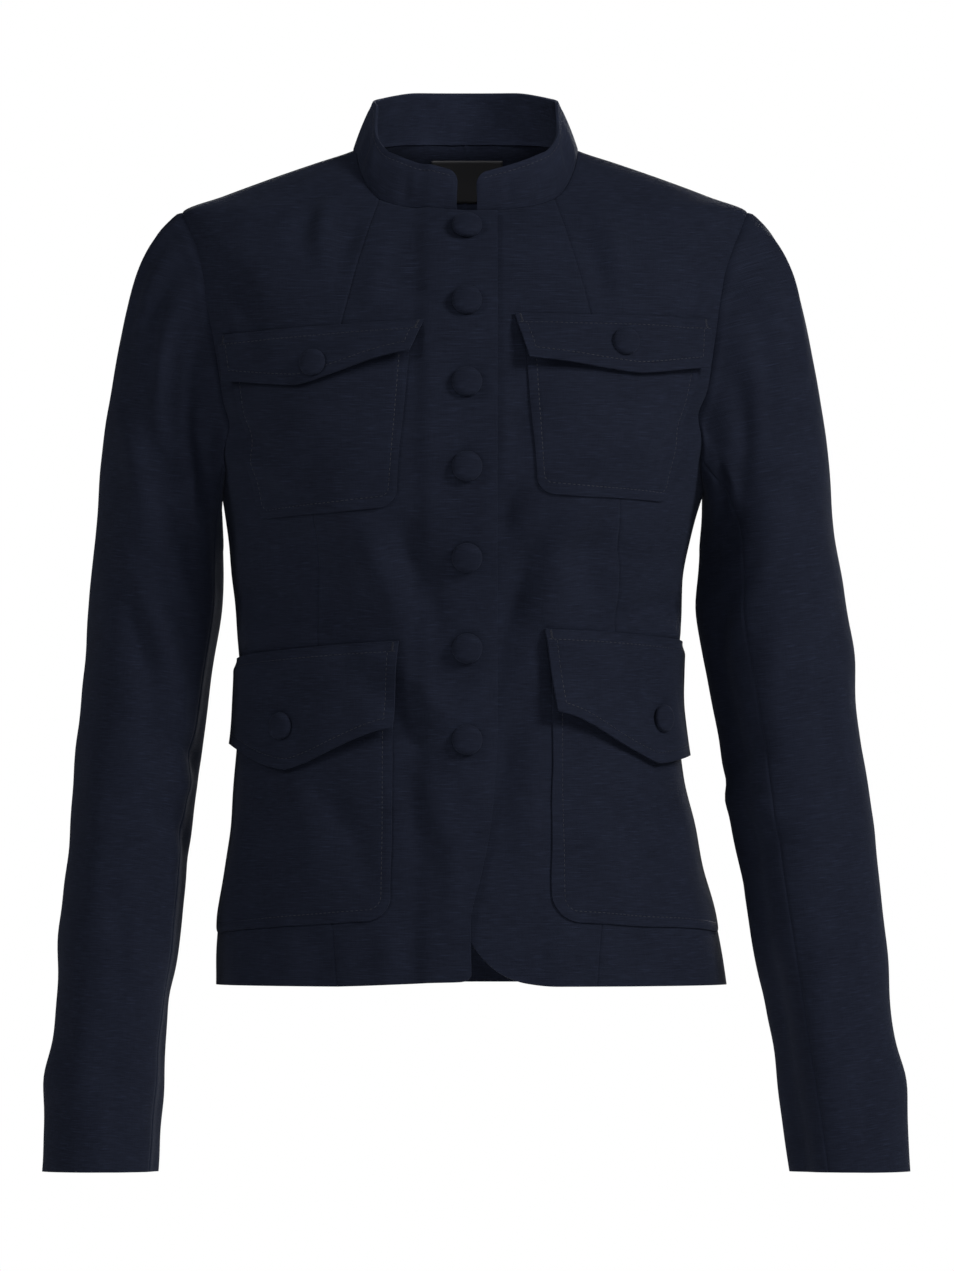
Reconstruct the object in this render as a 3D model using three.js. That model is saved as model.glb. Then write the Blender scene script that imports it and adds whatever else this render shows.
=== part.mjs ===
// A fitted stand-collar jacket for a woman, filled out as worn but empty: two fronts cut in centre and side
// panels, two backs, two-piece sleeves, collar, four flap pockets, covered buttons and a bare neck label.
// Millimetres. +Z is up and the front faces -Y, so +X is the wearer's left. The origin is in the middle of
// the neck, level with the points where the shoulder seams reach the collar.
import * as THREE from "three";

// Cloth and seams
const WALL = 2;
const SEAM_GAP = 0.3;
const PATCH_WALL = 1.5;
const REST_GAP = 0.9;
const BUTTON_GAP = 0.5;

// Lengths down from the shoulder's neck point
const HEM_Z = -554;
const CUFF_Z = -677;
const UNDERARM_Z = -222;
const SHOULDER_TIP_Z = -43;
const NECK_POINT_Z = -2;
const FRONT_NECK_Z = -45;
const BACK_NECK_Z = 3;

// Front overlap and buttons
const EDGE_PAST_CENTRE = 20;
const OVERLAP_LIFT = 2.9;
const LIFT_FROM_X = -36;
const LIFT_FULL_X = -24;
const FRONT_BUTTON = { radius: 10, dome: 4.2, rim: 1.6 };
const FRONT_BUTTON_Z = [-56, -104, -157, -212, -271, -331, -392];
const POCKET_BUTTON = { radius: 9, dome: 3.8, rim: 1.5 };
// A button's foot and shoulder against its widest radius, and how far up its rim it is widest.
const BUTTON_FORM = { foot: 0.9, shoulder: 0.98, widest: 0.6, domeSteps: 3, sides: 14 };

// Grid sizes: rows along the length, columns round the body
const SIDE_ROWS = 13;
const ARM_ROWS = 10;
const SHOULDER_ROWS = 5;
const ROWS = SIDE_ROWS + ARM_ROWS + SHOULDER_ROWS;
// Distances from a front's edge of its first columns, which fold the overlap; the others are spread evenly.
const EDGE_COLUMNS = [0, 22, 44, 56];
const CENTRE_COLUMNS = 6;
const SIDE_COLUMNS = 8;
const BACK_COLUMNS = 11;

const NAVY = 0x191d28;

// The body's sections from hem to neck: half width, depth before and behind the side seam, sideways shift.
const TORSO = [
  { z: -554, half: 169.5, front: 113, back: 114, shift: 2.5 },
  { z: -537, half: 168, front: 112, back: 112, shift: 2 },
  { z: -507, half: 163, front: 111, back: 108, shift: 0.5 },
  { z: -478, half: 157, front: 110, back: 103, shift: -2 },
  { z: -448, half: 151.5, front: 109, back: 97, shift: -3.5 },
  { z: -418, half: 147, front: 107, back: 92, shift: -5 },
  { z: -385, half: 145, front: 104, back: 87, shift: -5.5 },
  { z: -350, half: 144.5, front: 101, back: 84, shift: -6 },
  { z: -320, half: 146, front: 103, back: 85, shift: -6 },
  { z: -290, half: 148.5, front: 109, back: 90, shift: -6 },
  { z: -255, half: 154, front: 117, back: 96, shift: -4.5 },
  { z: -222, half: 160, front: 121, back: 101, shift: -3 },
  { z: -190, half: 170, front: 119, back: 104, shift: -2.5 },
  { z: -150, half: 179, front: 111, back: 105, shift: -2 },
  { z: -110, half: 186, front: 98, back: 103, shift: -2 },
  { z: -80, half: 189.5, front: 84, back: 97, shift: -1.5 },
  { z: -60, half: 190, front: 70, back: 88, shift: -1.5 },
  { z: -43, half: 187, front: 55, back: 79, shift: -1.5 },
  { z: -32, half: 160, front: 44, back: 73, shift: -1 },
  { z: -20, half: 128, front: 35, back: 67, shift: -1 },
  { z: -10, half: 99, front: 25, back: 61, shift: -1 },
  { z: -2, half: 75, front: 15, back: 56, shift: -1 },
  { z: 6, half: 60, front: 9, back: 53, shift: -1 },
];

// Fullness over the bust, which the princess seams shape: one soft mound on each side.
const BUST = { x: 84, z: -226, spread: 82, height: 7 };

// The neck seam from the centre front to the shoulder seam, as seen from the front.
const FRONT_NECK = [
  { along: 0, x: 0, z: FRONT_NECK_Z },
  { along: 0.35, x: 40, z: -40.5 },
  { along: 0.55, x: 58, z: -35 },
  { along: 0.7, x: 66, z: -26 },
  { along: 0.85, x: 71.5, z: -14 },
  { along: 1, x: 74, z: NECK_POINT_Z },
];
const PRINCESS_ALONG = 0.55;

// The princess seam, neck to hem, as seen from the front.
const PRINCESS = [
  { z: HEM_Z, x: 86 },
  { z: -480, x: 91 },
  { z: -400, x: 95 },
  { z: -330, x: 98 },
  { z: -280, x: 101 },
  { z: -226, x: 101 },
  { z: -170, x: 94 },
  { z: -126, x: 85 },
  { z: -90, x: 76 },
  { z: -60, x: 67 },
  { z: -35, x: 58 },
];

// The armholes: distance from the centre as a share of the section's half width, by height.
const ARMHOLE = [
  { z: UNDERARM_Z, frontShare: 1, backShare: 1 },
  { z: -216, frontShare: 0.975, backShare: 0.98 },
  { z: -205, frontShare: 0.945, backShare: 0.955 },
  { z: -185, frontShare: 0.925, backShare: 0.935 },
  { z: -150, frontShare: 0.915, backShare: 0.915 },
  { z: -120, frontShare: 0.91, backShare: 0.91 },
  { z: -90, frontShare: 0.912, backShare: 0.915 },
  { z: -68, frontShare: 0.935, backShare: 0.94 },
  { z: -52, frontShare: 0.97, backShare: 0.975 },
  { z: SHOULDER_TIP_Z, frontShare: 1, backShare: 1 },
];

// The front edges from the last button down, by how far they lie past the centre, and the corners that run
// from there into the hem. The right one is shown nearly square, the left one is rounded.
const UPPER_EDGE = [
  { z: -482, x: 9 },
  { z: -452, x: 15 },
  { z: -420, x: 18.5 },
  { z: -390, x: EDGE_PAST_CENTRE },
  { z: FRONT_NECK_Z, x: EDGE_PAST_CENTRE },
];
const FRONT_EDGE = {
  right: [{ z: -546.5, x: 3 }, { z: -530, x: 2.6 }, { z: -512, x: 2.4 }, ...UPPER_EDGE],
  left: [{ z: -512, x: 2 }, ...UPPER_EDGE],
};
const CORNER = {
  right: [
    { along: 0, x: 3, z: -546.5 },
    { along: 0.03, x: 0.3, z: -550 },
    { along: 0.09, x: -5, z: -551 },
    { along: 0.3, x: -24, z: -551.5 },
    { along: 0.7, x: -59, z: -553 },
    { along: 1, x: -86, z: HEM_Z },
  ],
  left: [
    { along: 0, x: 2, z: -512 },
    { along: 0.12, x: -2, z: -523 },
    { along: 0.28, x: -11, z: -536 },
    { along: 0.45, x: -24, z: -546.5 },
    { along: 0.62, x: -40, z: -552 },
    { along: 0.8, x: -60, z: HEM_Z },
    { along: 1, x: -86, z: HEM_Z },
  ],
};

// How the rows of each panel's edges are spread: heights at the hem, underarm row, shoulder tip row and neck.
// A front edge starts where its corner does.
const ROW_LEVELS = {
  right: [FRONT_EDGE.right[0].z, -226, -98, FRONT_NECK_Z],
  left: [FRONT_EDGE.left[0].z, -226, -98, FRONT_NECK_Z],
  princess: [HEM_Z, -232, -88, -35],
  back: [HEM_Z, -214, -40, BACK_NECK_Z],
};

// Sleeve sections below the biceps. The right sleeve shows a little narrower than the left one.
const SLEEVE_RIGHT = [
  { z: -264, x: -204, half: 43, y: 4, depth: 54 },
  { z: -300, x: -206, half: 44.5, y: 3, depth: 53.5 },
  { z: -350, x: -212, half: 43.3, y: 0, depth: 51 },
  { z: -399, x: -217, half: 41.6, y: -5, depth: 48 },
  { z: -448, x: -222, half: 40.8, y: -12, depth: 45.5 },
  { z: -498, x: -227.4, half: 40, y: -19, depth: 43.5 },
  { z: -547, x: -232, half: 39.6, y: -25, depth: 41.5 },
  { z: -597, x: -236.6, half: 39.3, y: -30, depth: 39.5 },
  { z: -640, x: -240, half: 39.1, y: -34, depth: 38 },
  { z: CUFF_Z, x: -242.3, half: 39, y: -37, depth: 37 },
];
const SLEEVE_LEFT = [
  { z: -264, x: 199, half: 46.5, y: 4, depth: 54 },
  { z: -300, x: 201, half: 50, y: 3, depth: 53 },
  { z: -350, x: 208, half: 49, y: 0, depth: 50 },
  { z: -399, x: 215, half: 47.5, y: -5, depth: 47 },
  { z: -448, x: 222, half: 46.3, y: -12, depth: 44.5 },
  { z: -498, x: 229, half: 44.9, y: -19, depth: 42.5 },
  { z: -547, x: 236, half: 43.4, y: -25, depth: 41 },
  { z: -597, x: 243.2, half: 41.9, y: -30, depth: 39 },
  { z: -640, x: 249, half: 41, y: -34, depth: 37.5 },
  { z: CUFF_Z, x: 253, half: 40.6, y: -37, depth: 36.5 },
];
const CAP_RINGS = 7;
const FOREARM_RINGS = 11;
const CAP = { topPull: 150, underPull: 15, topDrop: 20, sideDrop: 25, endTop: 170, endUnder: 40 };

// Where the sleeve's two seams run, in degrees from its outer side, and in steps round the armhole.
const SLEEVE_SEAMS = {
  right: { frontStep: 8, backStep: 7, front: 152, back: 118 },
  left: { frontStep: 8, backStep: 7, front: 112, back: 118 },
};

// Soft folds of the sleeve cloth: height, degrees round from the outer side, reach up and round, depth.
const SLEEVE_FOLDS = [
  { z: -395, round: 95, tall: 16, wide: 40, depth: -2.2 },
  { z: -430, round: 60, tall: 18, wide: 45, depth: 1.6 },
  { z: -470, round: 110, tall: 17, wide: 40, depth: -1.8 },
  { z: -520, round: -80, tall: 22, wide: 50, depth: 1.8 },
  { z: -570, round: 80, tall: 20, wide: 45, depth: -1.5 },
  { z: -620, round: 20, tall: 22, wide: 50, depth: 1.4 },
];

// The stand collar by place along its neck seam: how far its top edge stands up and leans in.
const COLLAR = [
  { turn: 0, rise: 24.5, lean: 5 },
  { turn: 20, rise: 28.5, lean: 6.5 },
  { turn: 45, rise: 32, lean: 8 },
  { turn: 65, rise: 30.5, lean: 8.5 },
  { turn: 78, rise: 30.5, lean: 11.5 },
  { turn: 90, rise: 33, lean: 13.5 },
  { turn: 105, rise: 34, lean: 13 },
  { turn: 120, rise: 34, lean: 11 },
  { turn: 150, rise: 34.5, lean: 7.5 },
  { turn: 180, rise: 34.5, lean: 5.5 },
];
const COLLAR_END_X = 6.8;
const COLLAR_CORNER = 7;
const COLLAR_ROWS = 3;

// Pockets and flaps as seen from the front, inner edges towards the centre. The turn sets the outer edge.
// A pocket's top and bottom run from a height at its inner edge to one at its outer edge.
const CHEST_POCKET = {
  right: { top: [-124, -134], bottom: [-238, -247], innerTop: 37, innerBottom: 46, outerTurn: 59.5 },
  left: { top: [-120, -123], bottom: [-229, -235], innerTop: 38, innerBottom: 45, outerTurn: 59.5 },
};
const LOWER_POCKET = {
  right: { top: [-335, -347], bottom: [-510, -521], innerTop: 49, innerBottom: 50, outerTurn: 88 },
  left: { top: [-326, -336], bottom: [-511, -520], innerTop: 55, innerBottom: 58, outerTurn: 88 },
};
const CHEST_FLAP = {
  right: { topInner: -115.5, topOuter: -125, sideInner: -138, tip: -159, sideOuter: -155, tipShare: 0.53 },
  left: { topInner: -111.5, topOuter: -114, sideInner: -142.5, tip: -151, sideOuter: -146, tipShare: 0.54 },
};
const LOWER_FLAP = {
  right: { topInner: -326, topOuter: -338, sideInner: -384, tip: -412, sideOuter: -395, tipShare: 0.47 },
  left: { topInner: -317.5, topOuter: -327, sideInner: -374, tip: -408, sideOuter: -403, tipShare: 0.58 },
};
// How far a flap's inner end lies from the centre at its top, and how much further at its lower edge.
const FLAP_ENDS = {
  chest_right: { inner: 28, flare: 9, outerTurn: 61 },
  chest_left: { inner: 31, flare: 9, outerTurn: 61 },
  lower_right: { inner: 44, flare: 3.5, outerTurn: 86 },
  lower_left: { inner: 49.5, flare: 6.5, outerTurn: 86 },
};
const POCKET_CORNER = { chest: 12, lower: 16 };
const FLAP_STAND = { chest: 5, lower: 6 };
const FLAP_CLOSE_SHARE = 0.35;
const POCKET_BUTTON_AT = {
  chest_right: { x: 99, z: -145 },
  chest_left: { x: 102, z: -131 },
  lower_right: { x: 119, z: -383 },
  lower_left: { x: 124, z: -378 },
};
const LABEL = { width: 48, top: -6, bottom: -34, thick: 0.6 };

// Reads a named column of a table between its rows, along a curve that never overshoots.
function track(table, key, at, name) {
  const rows = table[0][key] < table[table.length - 1][key] ? table : [...table].reverse();
  const last = rows.length - 1;
  if (at <= rows[0][key]) return rows[0][name];
  if (at >= rows[last][key]) return rows[last][name];
  let i = 0;
  while (rows[i + 1][key] < at) i += 1;
  const slope = (k) => (rows[k + 1][name] - rows[k][name]) / (rows[k + 1][key] - rows[k][key]);
  const tangent = (k) => {
    if (k === 0) return slope(0);
    if (k === last) return slope(last - 1);
    const before = slope(k - 1);
    const after = slope(k);
    return before * after <= 0 ? 0 : (2 * before * after) / (before + after);
  };
  const span = rows[i + 1][key] - rows[i][key];
  const t = (at - rows[i][key]) / span;
  const rise = rows[i + 1][name] - rows[i][name];
  const early = tangent(i) * span;
  const late = tangent(i + 1) * span;
  const bend = 3 * rise - 2 * early - late;
  const twist = early + late - 2 * rise;
  return rows[i][name] + early * t + bend * t * t + twist * t ** 3;
}

const radians = THREE.MathUtils.degToRad;
const degrees = THREE.MathUtils.radToDeg;
const mix = THREE.MathUtils.lerp;
const ease = (x, from, to) => THREE.MathUtils.smoothstep(x, from, to);

// A point of the body's outer face. The turn is 0 at the centre front, 90 at the left and -90 at the right.
function bodyPoint(turn, z) {
  const angle = radians(turn);
  const depth = Math.cos(angle) > 0 ? "front" : "back";
  const x = track(TORSO, "z", z, "shift") + track(TORSO, "z", z, "half") * Math.sin(angle);
  const y = -track(TORSO, "z", z, depth) * Math.cos(angle);
  const away = Math.hypot(Math.abs(x) - BUST.x, z - BUST.z) / BUST.spread;
  const mound = Math.cos(angle) > 0 ? BUST.height * Math.exp(-2 * away * away) : 0;
  return new THREE.Vector3(x, y - mound, z);
}

function bodyNormal(turn, z) {
  const step = 0.5;
  const round = bodyPoint(turn + step, z).sub(bodyPoint(turn - step, z));
  const up = bodyPoint(turn, z + step).sub(bodyPoint(turn, z - step));
  return round.cross(up).normalize();
}

const turnAt = (x, z) => {
  const share = (x - track(TORSO, "z", z, "shift")) / track(TORSO, "z", z, "half");
  return degrees(Math.asin(THREE.MathUtils.clamp(share, -1, 1)));
};

// The wearer's right front laps over the left one, so its edge strip lies further out.
function overlapLift(x, side) {
  return side < 0 ? OVERLAP_LIFT * ease(x, LIFT_FROM_X, LIFT_FULL_X) : 0;
}

// One closed wall from two grids of points, the outer face and the inner face.
function wall(outer, inner) {
  const rows = outer.length;
  const columns = outer[0].length;
  const points = [...outer.flat(), ...inner.flat()];
  const at = (layer, i, j) => layer * rows * columns + i * columns + j;
  const index = [];
  const quad = (a, b, c, d) => index.push(a, b, c, a, c, d);
  for (let i = 0; i + 1 < rows; i += 1) {
    for (let j = 0; j + 1 < columns; j += 1) {
      quad(at(0, i, j), at(0, i, j + 1), at(0, i + 1, j + 1), at(0, i + 1, j));
      quad(at(1, i, j), at(1, i + 1, j), at(1, i + 1, j + 1), at(1, i, j + 1));
    }
  }
  for (let i = 0; i + 1 < rows; i += 1) {
    quad(at(0, i, 0), at(0, i + 1, 0), at(1, i + 1, 0), at(1, i, 0));
    const e = columns - 1;
    quad(at(0, i, e), at(1, i, e), at(1, i + 1, e), at(0, i + 1, e));
  }
  for (let j = 0; j + 1 < columns; j += 1) {
    quad(at(0, 0, j), at(1, 0, j), at(1, 0, j + 1), at(0, 0, j + 1));
    const e = rows - 1;
    quad(at(0, e, j), at(0, e, j + 1), at(1, e, j + 1), at(1, e, j));
  }
  const geometry = new THREE.BufferGeometry().setFromPoints(points);
  geometry.setIndex(index);
  geometry.computeVertexNormals();
  return geometry;
}

// The same grid with its columns in the other order, so that a mirrored piece still faces out.
const flipped = (grid) => grid.map((row) => [...row].reverse());

const offset = (grid, normals, by) =>
  grid.map((row, i) => row.map((p, j) => p.clone().addScaledVector(normals[i][j], by)));

// Draws the named edges of a grid back by half a seam's gap.
function trimmed(grid, edges) {
  const half = SEAM_GAP / 2;
  const back = (p, towards) => p.clone().addScaledVector(towards.clone().sub(p).normalize(), half);
  let out = grid.map((row) => row.map((p) => p.clone()));
  const width = grid[0].length;
  const height = grid.length;
  if (edges.includes("start")) out.forEach((row, i) => (row[0] = back(row[0], grid[i][1])));
  if (edges.includes("end")) {
    out.forEach((row, i) => (row[width - 1] = back(row[width - 1], grid[i][width - 2])));
  }
  if (edges.includes("top")) {
    out[height - 1] = out[height - 1].map((p, j) => back(p, out[height - 2][j]));
  }
  return out;
}

// The height of a panel's edge at a row, from its four levels.
function rowLevel(levels, row) {
  const stops = [0, SIDE_ROWS, SIDE_ROWS + ARM_ROWS, ROWS];
  let k = 0;
  while (k < 2 && row > stops[k + 1]) k += 1;
  return mix(levels[k], levels[k + 1], (row - stops[k]) / (stops[k + 1] - stops[k]));
}

// The outer edge of front and back by row: side seam, armhole, then shoulder seam to the neck point.
function outerEdge(row, share, sign) {
  if (row <= SIDE_ROWS) return { turn: 90, z: mix(HEM_Z, UNDERARM_Z, row / SIDE_ROWS) };
  if (row >= SIDE_ROWS + ARM_ROWS) {
    const along = (row - SIDE_ROWS - ARM_ROWS) / SHOULDER_ROWS;
    return { turn: 90, z: mix(SHOULDER_TIP_Z, NECK_POINT_Z, along) };
  }
  const along = (row - SIDE_ROWS) / ARM_ROWS;
  const z = mix(UNDERARM_Z, SHOULDER_TIP_Z, (1 - Math.cos(Math.PI * along)) / 2);
  const turn = degrees(Math.asin(track(ARMHOLE, "z", z, share)));
  return { turn: sign > 0 ? turn : 180 - turn, z };
}

// A panel in turn and height between four edges, each a function of the share along it.
function patch(rows, columns, { start, end, low, high, spread = (u) => u }) {
  const grid = [];
  const blend = (key, u, v) =>
    mix(start(v)[key], end(v)[key], u) +
    mix(low(u)[key], high(u)[key], v) -
    mix(mix(low(0)[key], low(1)[key], u), mix(high(0)[key], high(1)[key], u), v);
  for (let i = 0; i <= rows; i += 1) {
    const row = [];
    for (let j = 0; j <= columns; j += 1) {
      const v = i / rows;
      const u = spread(j / columns, v);
      row.push({ turn: blend("turn", u, v), z: blend("z", u, v) });
    }
    grid.push(row);
  }
  return grid;
}

// Places a panel's chart points on the body, on one side, and gives it its wall.
function bodyWall(chart, side, edges, lifted) {
  const points = chart.map((row) => row.map(({ turn, z }) => bodyPoint(side * turn, z)));
  const normals = chart.map((row) => row.map(({ turn, z }) => bodyNormal(side * turn, z)));
  const lift = (p) => (lifted ? overlapLift(p.x, side) : 0);
  const raised = points.map((row, i) => row.map((p, j) => p.clone().addScaledVector(normals[i][j], lift(p))));
  const outer = trimmed(raised, edges);
  const inner = offset(outer, normals, -WALL);
  return side > 0 ? wall(outer, inner) : wall(flipped(outer), flipped(inner));
}

// Front edge and hem corner, mirrored for the two fronts; a front's own edge lies past the centre.

function princessPoint(z, side) {
  return { turn: Math.abs(turnAt(side * track(PRINCESS, "z", z, "x"), z)), z };
}

function neckPoint(along, side) {
  const z = track(FRONT_NECK, "along", along, "z");
  if (along >= 1) return { turn: 90, z };
  return { turn: side * turnAt(side * track(FRONT_NECK, "along", along, "x"), z), z };
}

function frontCentre(side) {
  const hand = side < 0 ? "right" : "left";
  const edgeX = (z) => track(FRONT_EDGE[hand], "z", z, "x");
  const edgeAt = (v) => {
    const z = rowLevel(ROW_LEVELS[hand], v * ROWS);
    return { turn: side * turnAt(-side * edgeX(z), z), z };
  };
  const cornerAt = (u) => {
    const x = track(CORNER[hand], "along", u, "x");
    const z = track(CORNER[hand], "along", u, "z");
    return { turn: side * turnAt(-side * x, z), z };
  };
  const neckAt = (u) => {
    const x = mix(-EDGE_PAST_CENTRE, track(FRONT_NECK, "along", PRINCESS_ALONG, "x"), u);
    const z = x < 0 ? FRONT_NECK_Z : track(FRONT_NECK, "x", x, "z");
    return { turn: side * turnAt(side * x, z), z };
  };
  const spread = (u, v) => {
    const z = rowLevel(ROW_LEVELS[hand], v * ROWS);
    const turnOf = (x) => side * turnAt(side * x, z);
    const edge = -edgeX(z);
    const share = (x) => (turnOf(x) - turnOf(edge)) / (turnOf(track(PRINCESS, "z", z, "x")) - turnOf(edge));
    const column = Math.round(u * CENTRE_COLUMNS);
    const fixed = EDGE_COLUMNS.length - 1;
    if (column <= fixed) return share(edge + EDGE_COLUMNS[column]);
    return mix(share(edge + EDGE_COLUMNS[fixed]), 1, (column - fixed) / (CENTRE_COLUMNS - fixed));
  };
  return patch(ROWS, CENTRE_COLUMNS, {
    start: edgeAt,
    end: (v) => princessPoint(rowLevel(ROW_LEVELS.princess, v * ROWS), side),
    low: cornerAt,
    high: neckAt,
    spread,
  });
}

function frontSide(side) {
  const hemFrom = princessPoint(HEM_Z, side).turn;
  return patch(ROWS, SIDE_COLUMNS, {
    start: (v) => princessPoint(rowLevel(ROW_LEVELS.princess, v * ROWS), side),
    end: (v) => outerEdge(v * ROWS, "frontShare", 1),
    low: (u) => ({ turn: mix(hemFrom, 90, u), z: HEM_Z }),
    high: (u) => neckPoint(mix(PRINCESS_ALONG, 1, u), side),
  });
}

function backHalf() {
  return patch(ROWS, BACK_COLUMNS, {
    start: (v) => outerEdge(v * ROWS, "backShare", -1),
    end: (v) => ({ turn: 180, z: rowLevel(ROW_LEVELS.back, v * ROWS) }),
    low: (u) => ({ turn: mix(90, 180, u), z: HEM_Z }),
    high: (u) => ({ turn: mix(90, 180, u), z: mix(NECK_POINT_Z, BACK_NECK_Z, ease(u, 0, 0.6)) }),
  });
}

// The armhole's loop of points and the direction in which the panels run out at each, from the shoulder tip
// down the front to the underarm and up the back.
function armhole(side, frontChart, backChart) {
  const place = ({ turn, z }) => bodyPoint(side * turn, z);
  const loop = [];
  for (let step = 0; step < 2 * ARM_ROWS; step += 1) {
    const before = step <= ARM_ROWS;
    const row = SIDE_ROWS + (before ? ARM_ROWS - step : step - ARM_ROWS);
    const front = frontChart[row];
    const back = backChart[row];
    const point = place(before ? front[SIDE_COLUMNS] : back[0]);
    const fromFront = point.clone().sub(place(front[SIDE_COLUMNS - 1])).normalize();
    const fromBack = point.clone().sub(place(back[1])).normalize();
    const shared = step === 0 || step === ARM_ROWS;
    const out = shared ? fromFront.add(fromBack).normalize() : before ? fromFront : fromBack;
    loop.push({ point, out });
  }
  return loop;
}

// The degrees round the sleeve of a column, counted in steps round the armhole from the shoulder tip.
function sleeveAngle(step, seams) {
  const count = 2 * ARM_ROWS;
  const front = seams.frontStep;
  const back = count - seams.backStep;
  if (step <= front) return mix(0, seams.front, step / front);
  if (step <= back) return mix(seams.front, 360 - seams.back, (step - front) / (back - front));
  return mix(360 - seams.back, 360, (step - back) / (count - back));
}

// A point of a sleeve below the biceps, with its folds.
function sleevePoint(table, side, angle, z) {
  const read = (name) => track(table, "z", z, name);
  const tilt = Math.atan2(Math.abs(table[table.length - 1].x - table[0].x), table[0].z - CUFF_Z);
  const around = ((angle + 180) % 360) - 180;
  const fold = SLEEVE_FOLDS.reduce((sum, f) => {
    const high = (z - f.z) / f.tall;
    const wide = (around - f.round) / f.wide;
    return sum + f.depth * Math.exp(-high * high - wide * wide);
  }, 0);
  const out = (read("half") + fold) * Math.cos(radians(angle));
  const forward = (read("depth") + fold) * Math.sin(radians(angle));
  const level = Math.max(z, CUFF_Z) + out * Math.sin(tilt) * ease(z, CUFF_Z, CUFF_Z + 60);
  return new THREE.Vector3(read("x") + side * out * Math.cos(tilt), read("y") - forward, level);
}

// The whole sleeve as one grid: rings from the armhole to the cuff, columns round it.
function sleeveGrid(side, loop, table, seams) {
  const count = 2 * ARM_ROWS;
  const top = table[0].z;
  const axis = new THREE.Vector3(table[2].x - table[0].x, 0, table[2].z - table[0].z).normalize();
  const column = (step) => {
    const fall = (1 + Math.cos(radians(sleeveAngle(step, seams)))) / 2;
    const high = (1 + Math.cos((Math.PI * step) / ARM_ROWS)) / 2;
    const drop = radians(CAP.topDrop + CAP.sideDrop * 2 * (1 - high));
    const pull = mix(CAP.underPull, CAP.topPull, high ** 1.3);
    const leave = new THREE.Vector3(side * Math.cos(drop), 0, -Math.sin(drop));
    const from = loop[step].point.clone().addScaledVector(leave, SEAM_GAP);
    const to = sleevePoint(table, side, sleeveAngle(step, seams), top);
    const arrive = axis.clone().multiplyScalar(mix(CAP.endUnder, CAP.endTop, fall));
    leave.multiplyScalar(pull);
    const points = [];
    for (let k = 0; k <= CAP_RINGS; k += 1) {
      const t = k / CAP_RINGS;
      points.push(
        new THREE.Vector3()
          .addScaledVector(from, 1 - 3 * t * t + 2 * t ** 3)
          .addScaledVector(leave, t - 2 * t * t + t ** 3)
          .addScaledVector(to, 3 * t * t - 2 * t ** 3)
          .addScaledVector(arrive, t ** 3 - t * t),
      );
    }
    for (let k = 1; k <= FOREARM_RINGS; k += 1) {
      points.push(sleevePoint(table, side, sleeveAngle(step, seams), mix(top, CUFF_Z, k / FOREARM_RINGS)));
    }
    return points;
  };
  const columns = Array.from({ length: count }, (_, step) => column(step));
  return columns[0].map((_, ring) => columns.map((points) => points[ring]));
}

// The sleeve's outward directions. At the armhole they stay square to the panels where those bend away.
function sleeveNormals(grid, side, loop) {
  const count = grid[0].length;
  return grid.map((ring, i) =>
    ring.map((_, j) => {
      const round = ring[(j + 1) % count].clone().sub(ring[(j + count - 1) % count]);
      const down = grid[Math.min(i + 1, grid.length - 1)][j].clone().sub(grid[Math.max(i - 1, 0)][j]);
      const normal = round.cross(down).multiplyScalar(side).normalize();
      if (i > 0) return normal;
      const towards = Math.max(0, normal.dot(loop[j].out));
      return normal.addScaledVector(loop[j].out, -towards).normalize();
    }),
  );
}

// One piece of a sleeve, between two of its columns.
function sleevePiece(grid, normals, side, first, last) {
  const count = grid[0].length;
  const take = (rows) =>
    rows.map((row) => Array.from({ length: last - first + 1 }, (_, k) => row[(first + k + count) % count]));
  const outer = trimmed(take(grid), ["start", "end"]);
  const inner = offset(outer, take(normals), -WALL);
  const faces = side > 0 ? [flipped(outer), flipped(inner)] : [outer, inner];
  return wall(faces[0].reverse(), faces[1].reverse());
}

// The collar's neck seam on one side, from its front end to the centre back: the panels' own top points, with
// more at the rounded end. Turn is 0 at the centre front, 90 at the shoulder seam and 180 at the back.
function neckStops(side, charts) {
  const ends = [0, 0.12, 0.4, 1].map((share) => {
    const x = COLLAR_END_X + COLLAR_CORNER * share;
    const z = track(FRONT_NECK, "x", x, "z");
    return { turn: side * turnAt(side * x, z), z, place: 90 * track(FRONT_NECK, "x", x, "along") };
  });
  const top = (chart) => chart[ROWS];
  const centre = top(charts.centre)
    .map((spot) => ({ ...spot, x: Math.abs(bodyPoint(side * spot.turn, spot.z).x) * Math.sign(spot.turn) }))
    .filter(({ x }) => x > COLLAR_END_X + COLLAR_CORNER + 1)
    .map(({ turn, z, x }) => ({ turn, z, place: 90 * track(FRONT_NECK, "x", x, "along") }));
  const placed = (row, from, to) =>
    row.slice(1).map((spot, k) => ({ ...spot, place: mix(from, to, (k + 1) / (row.length - 1)) }));
  const stops = [
    ...ends,
    ...centre,
    ...placed(top(charts.side), 90 * PRINCESS_ALONG, 90),
    ...placed(top(charts.back), 90, 180),
  ];
  return stops.map(({ turn, z, place }) => {
    const point = bodyPoint(side * turn, z);
    const lift = place < 90 ? overlapLift(point.x, side) : 0;
    return { place, point: point.addScaledVector(bodyNormal(side * turn, z), lift) };
  });
}

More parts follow.
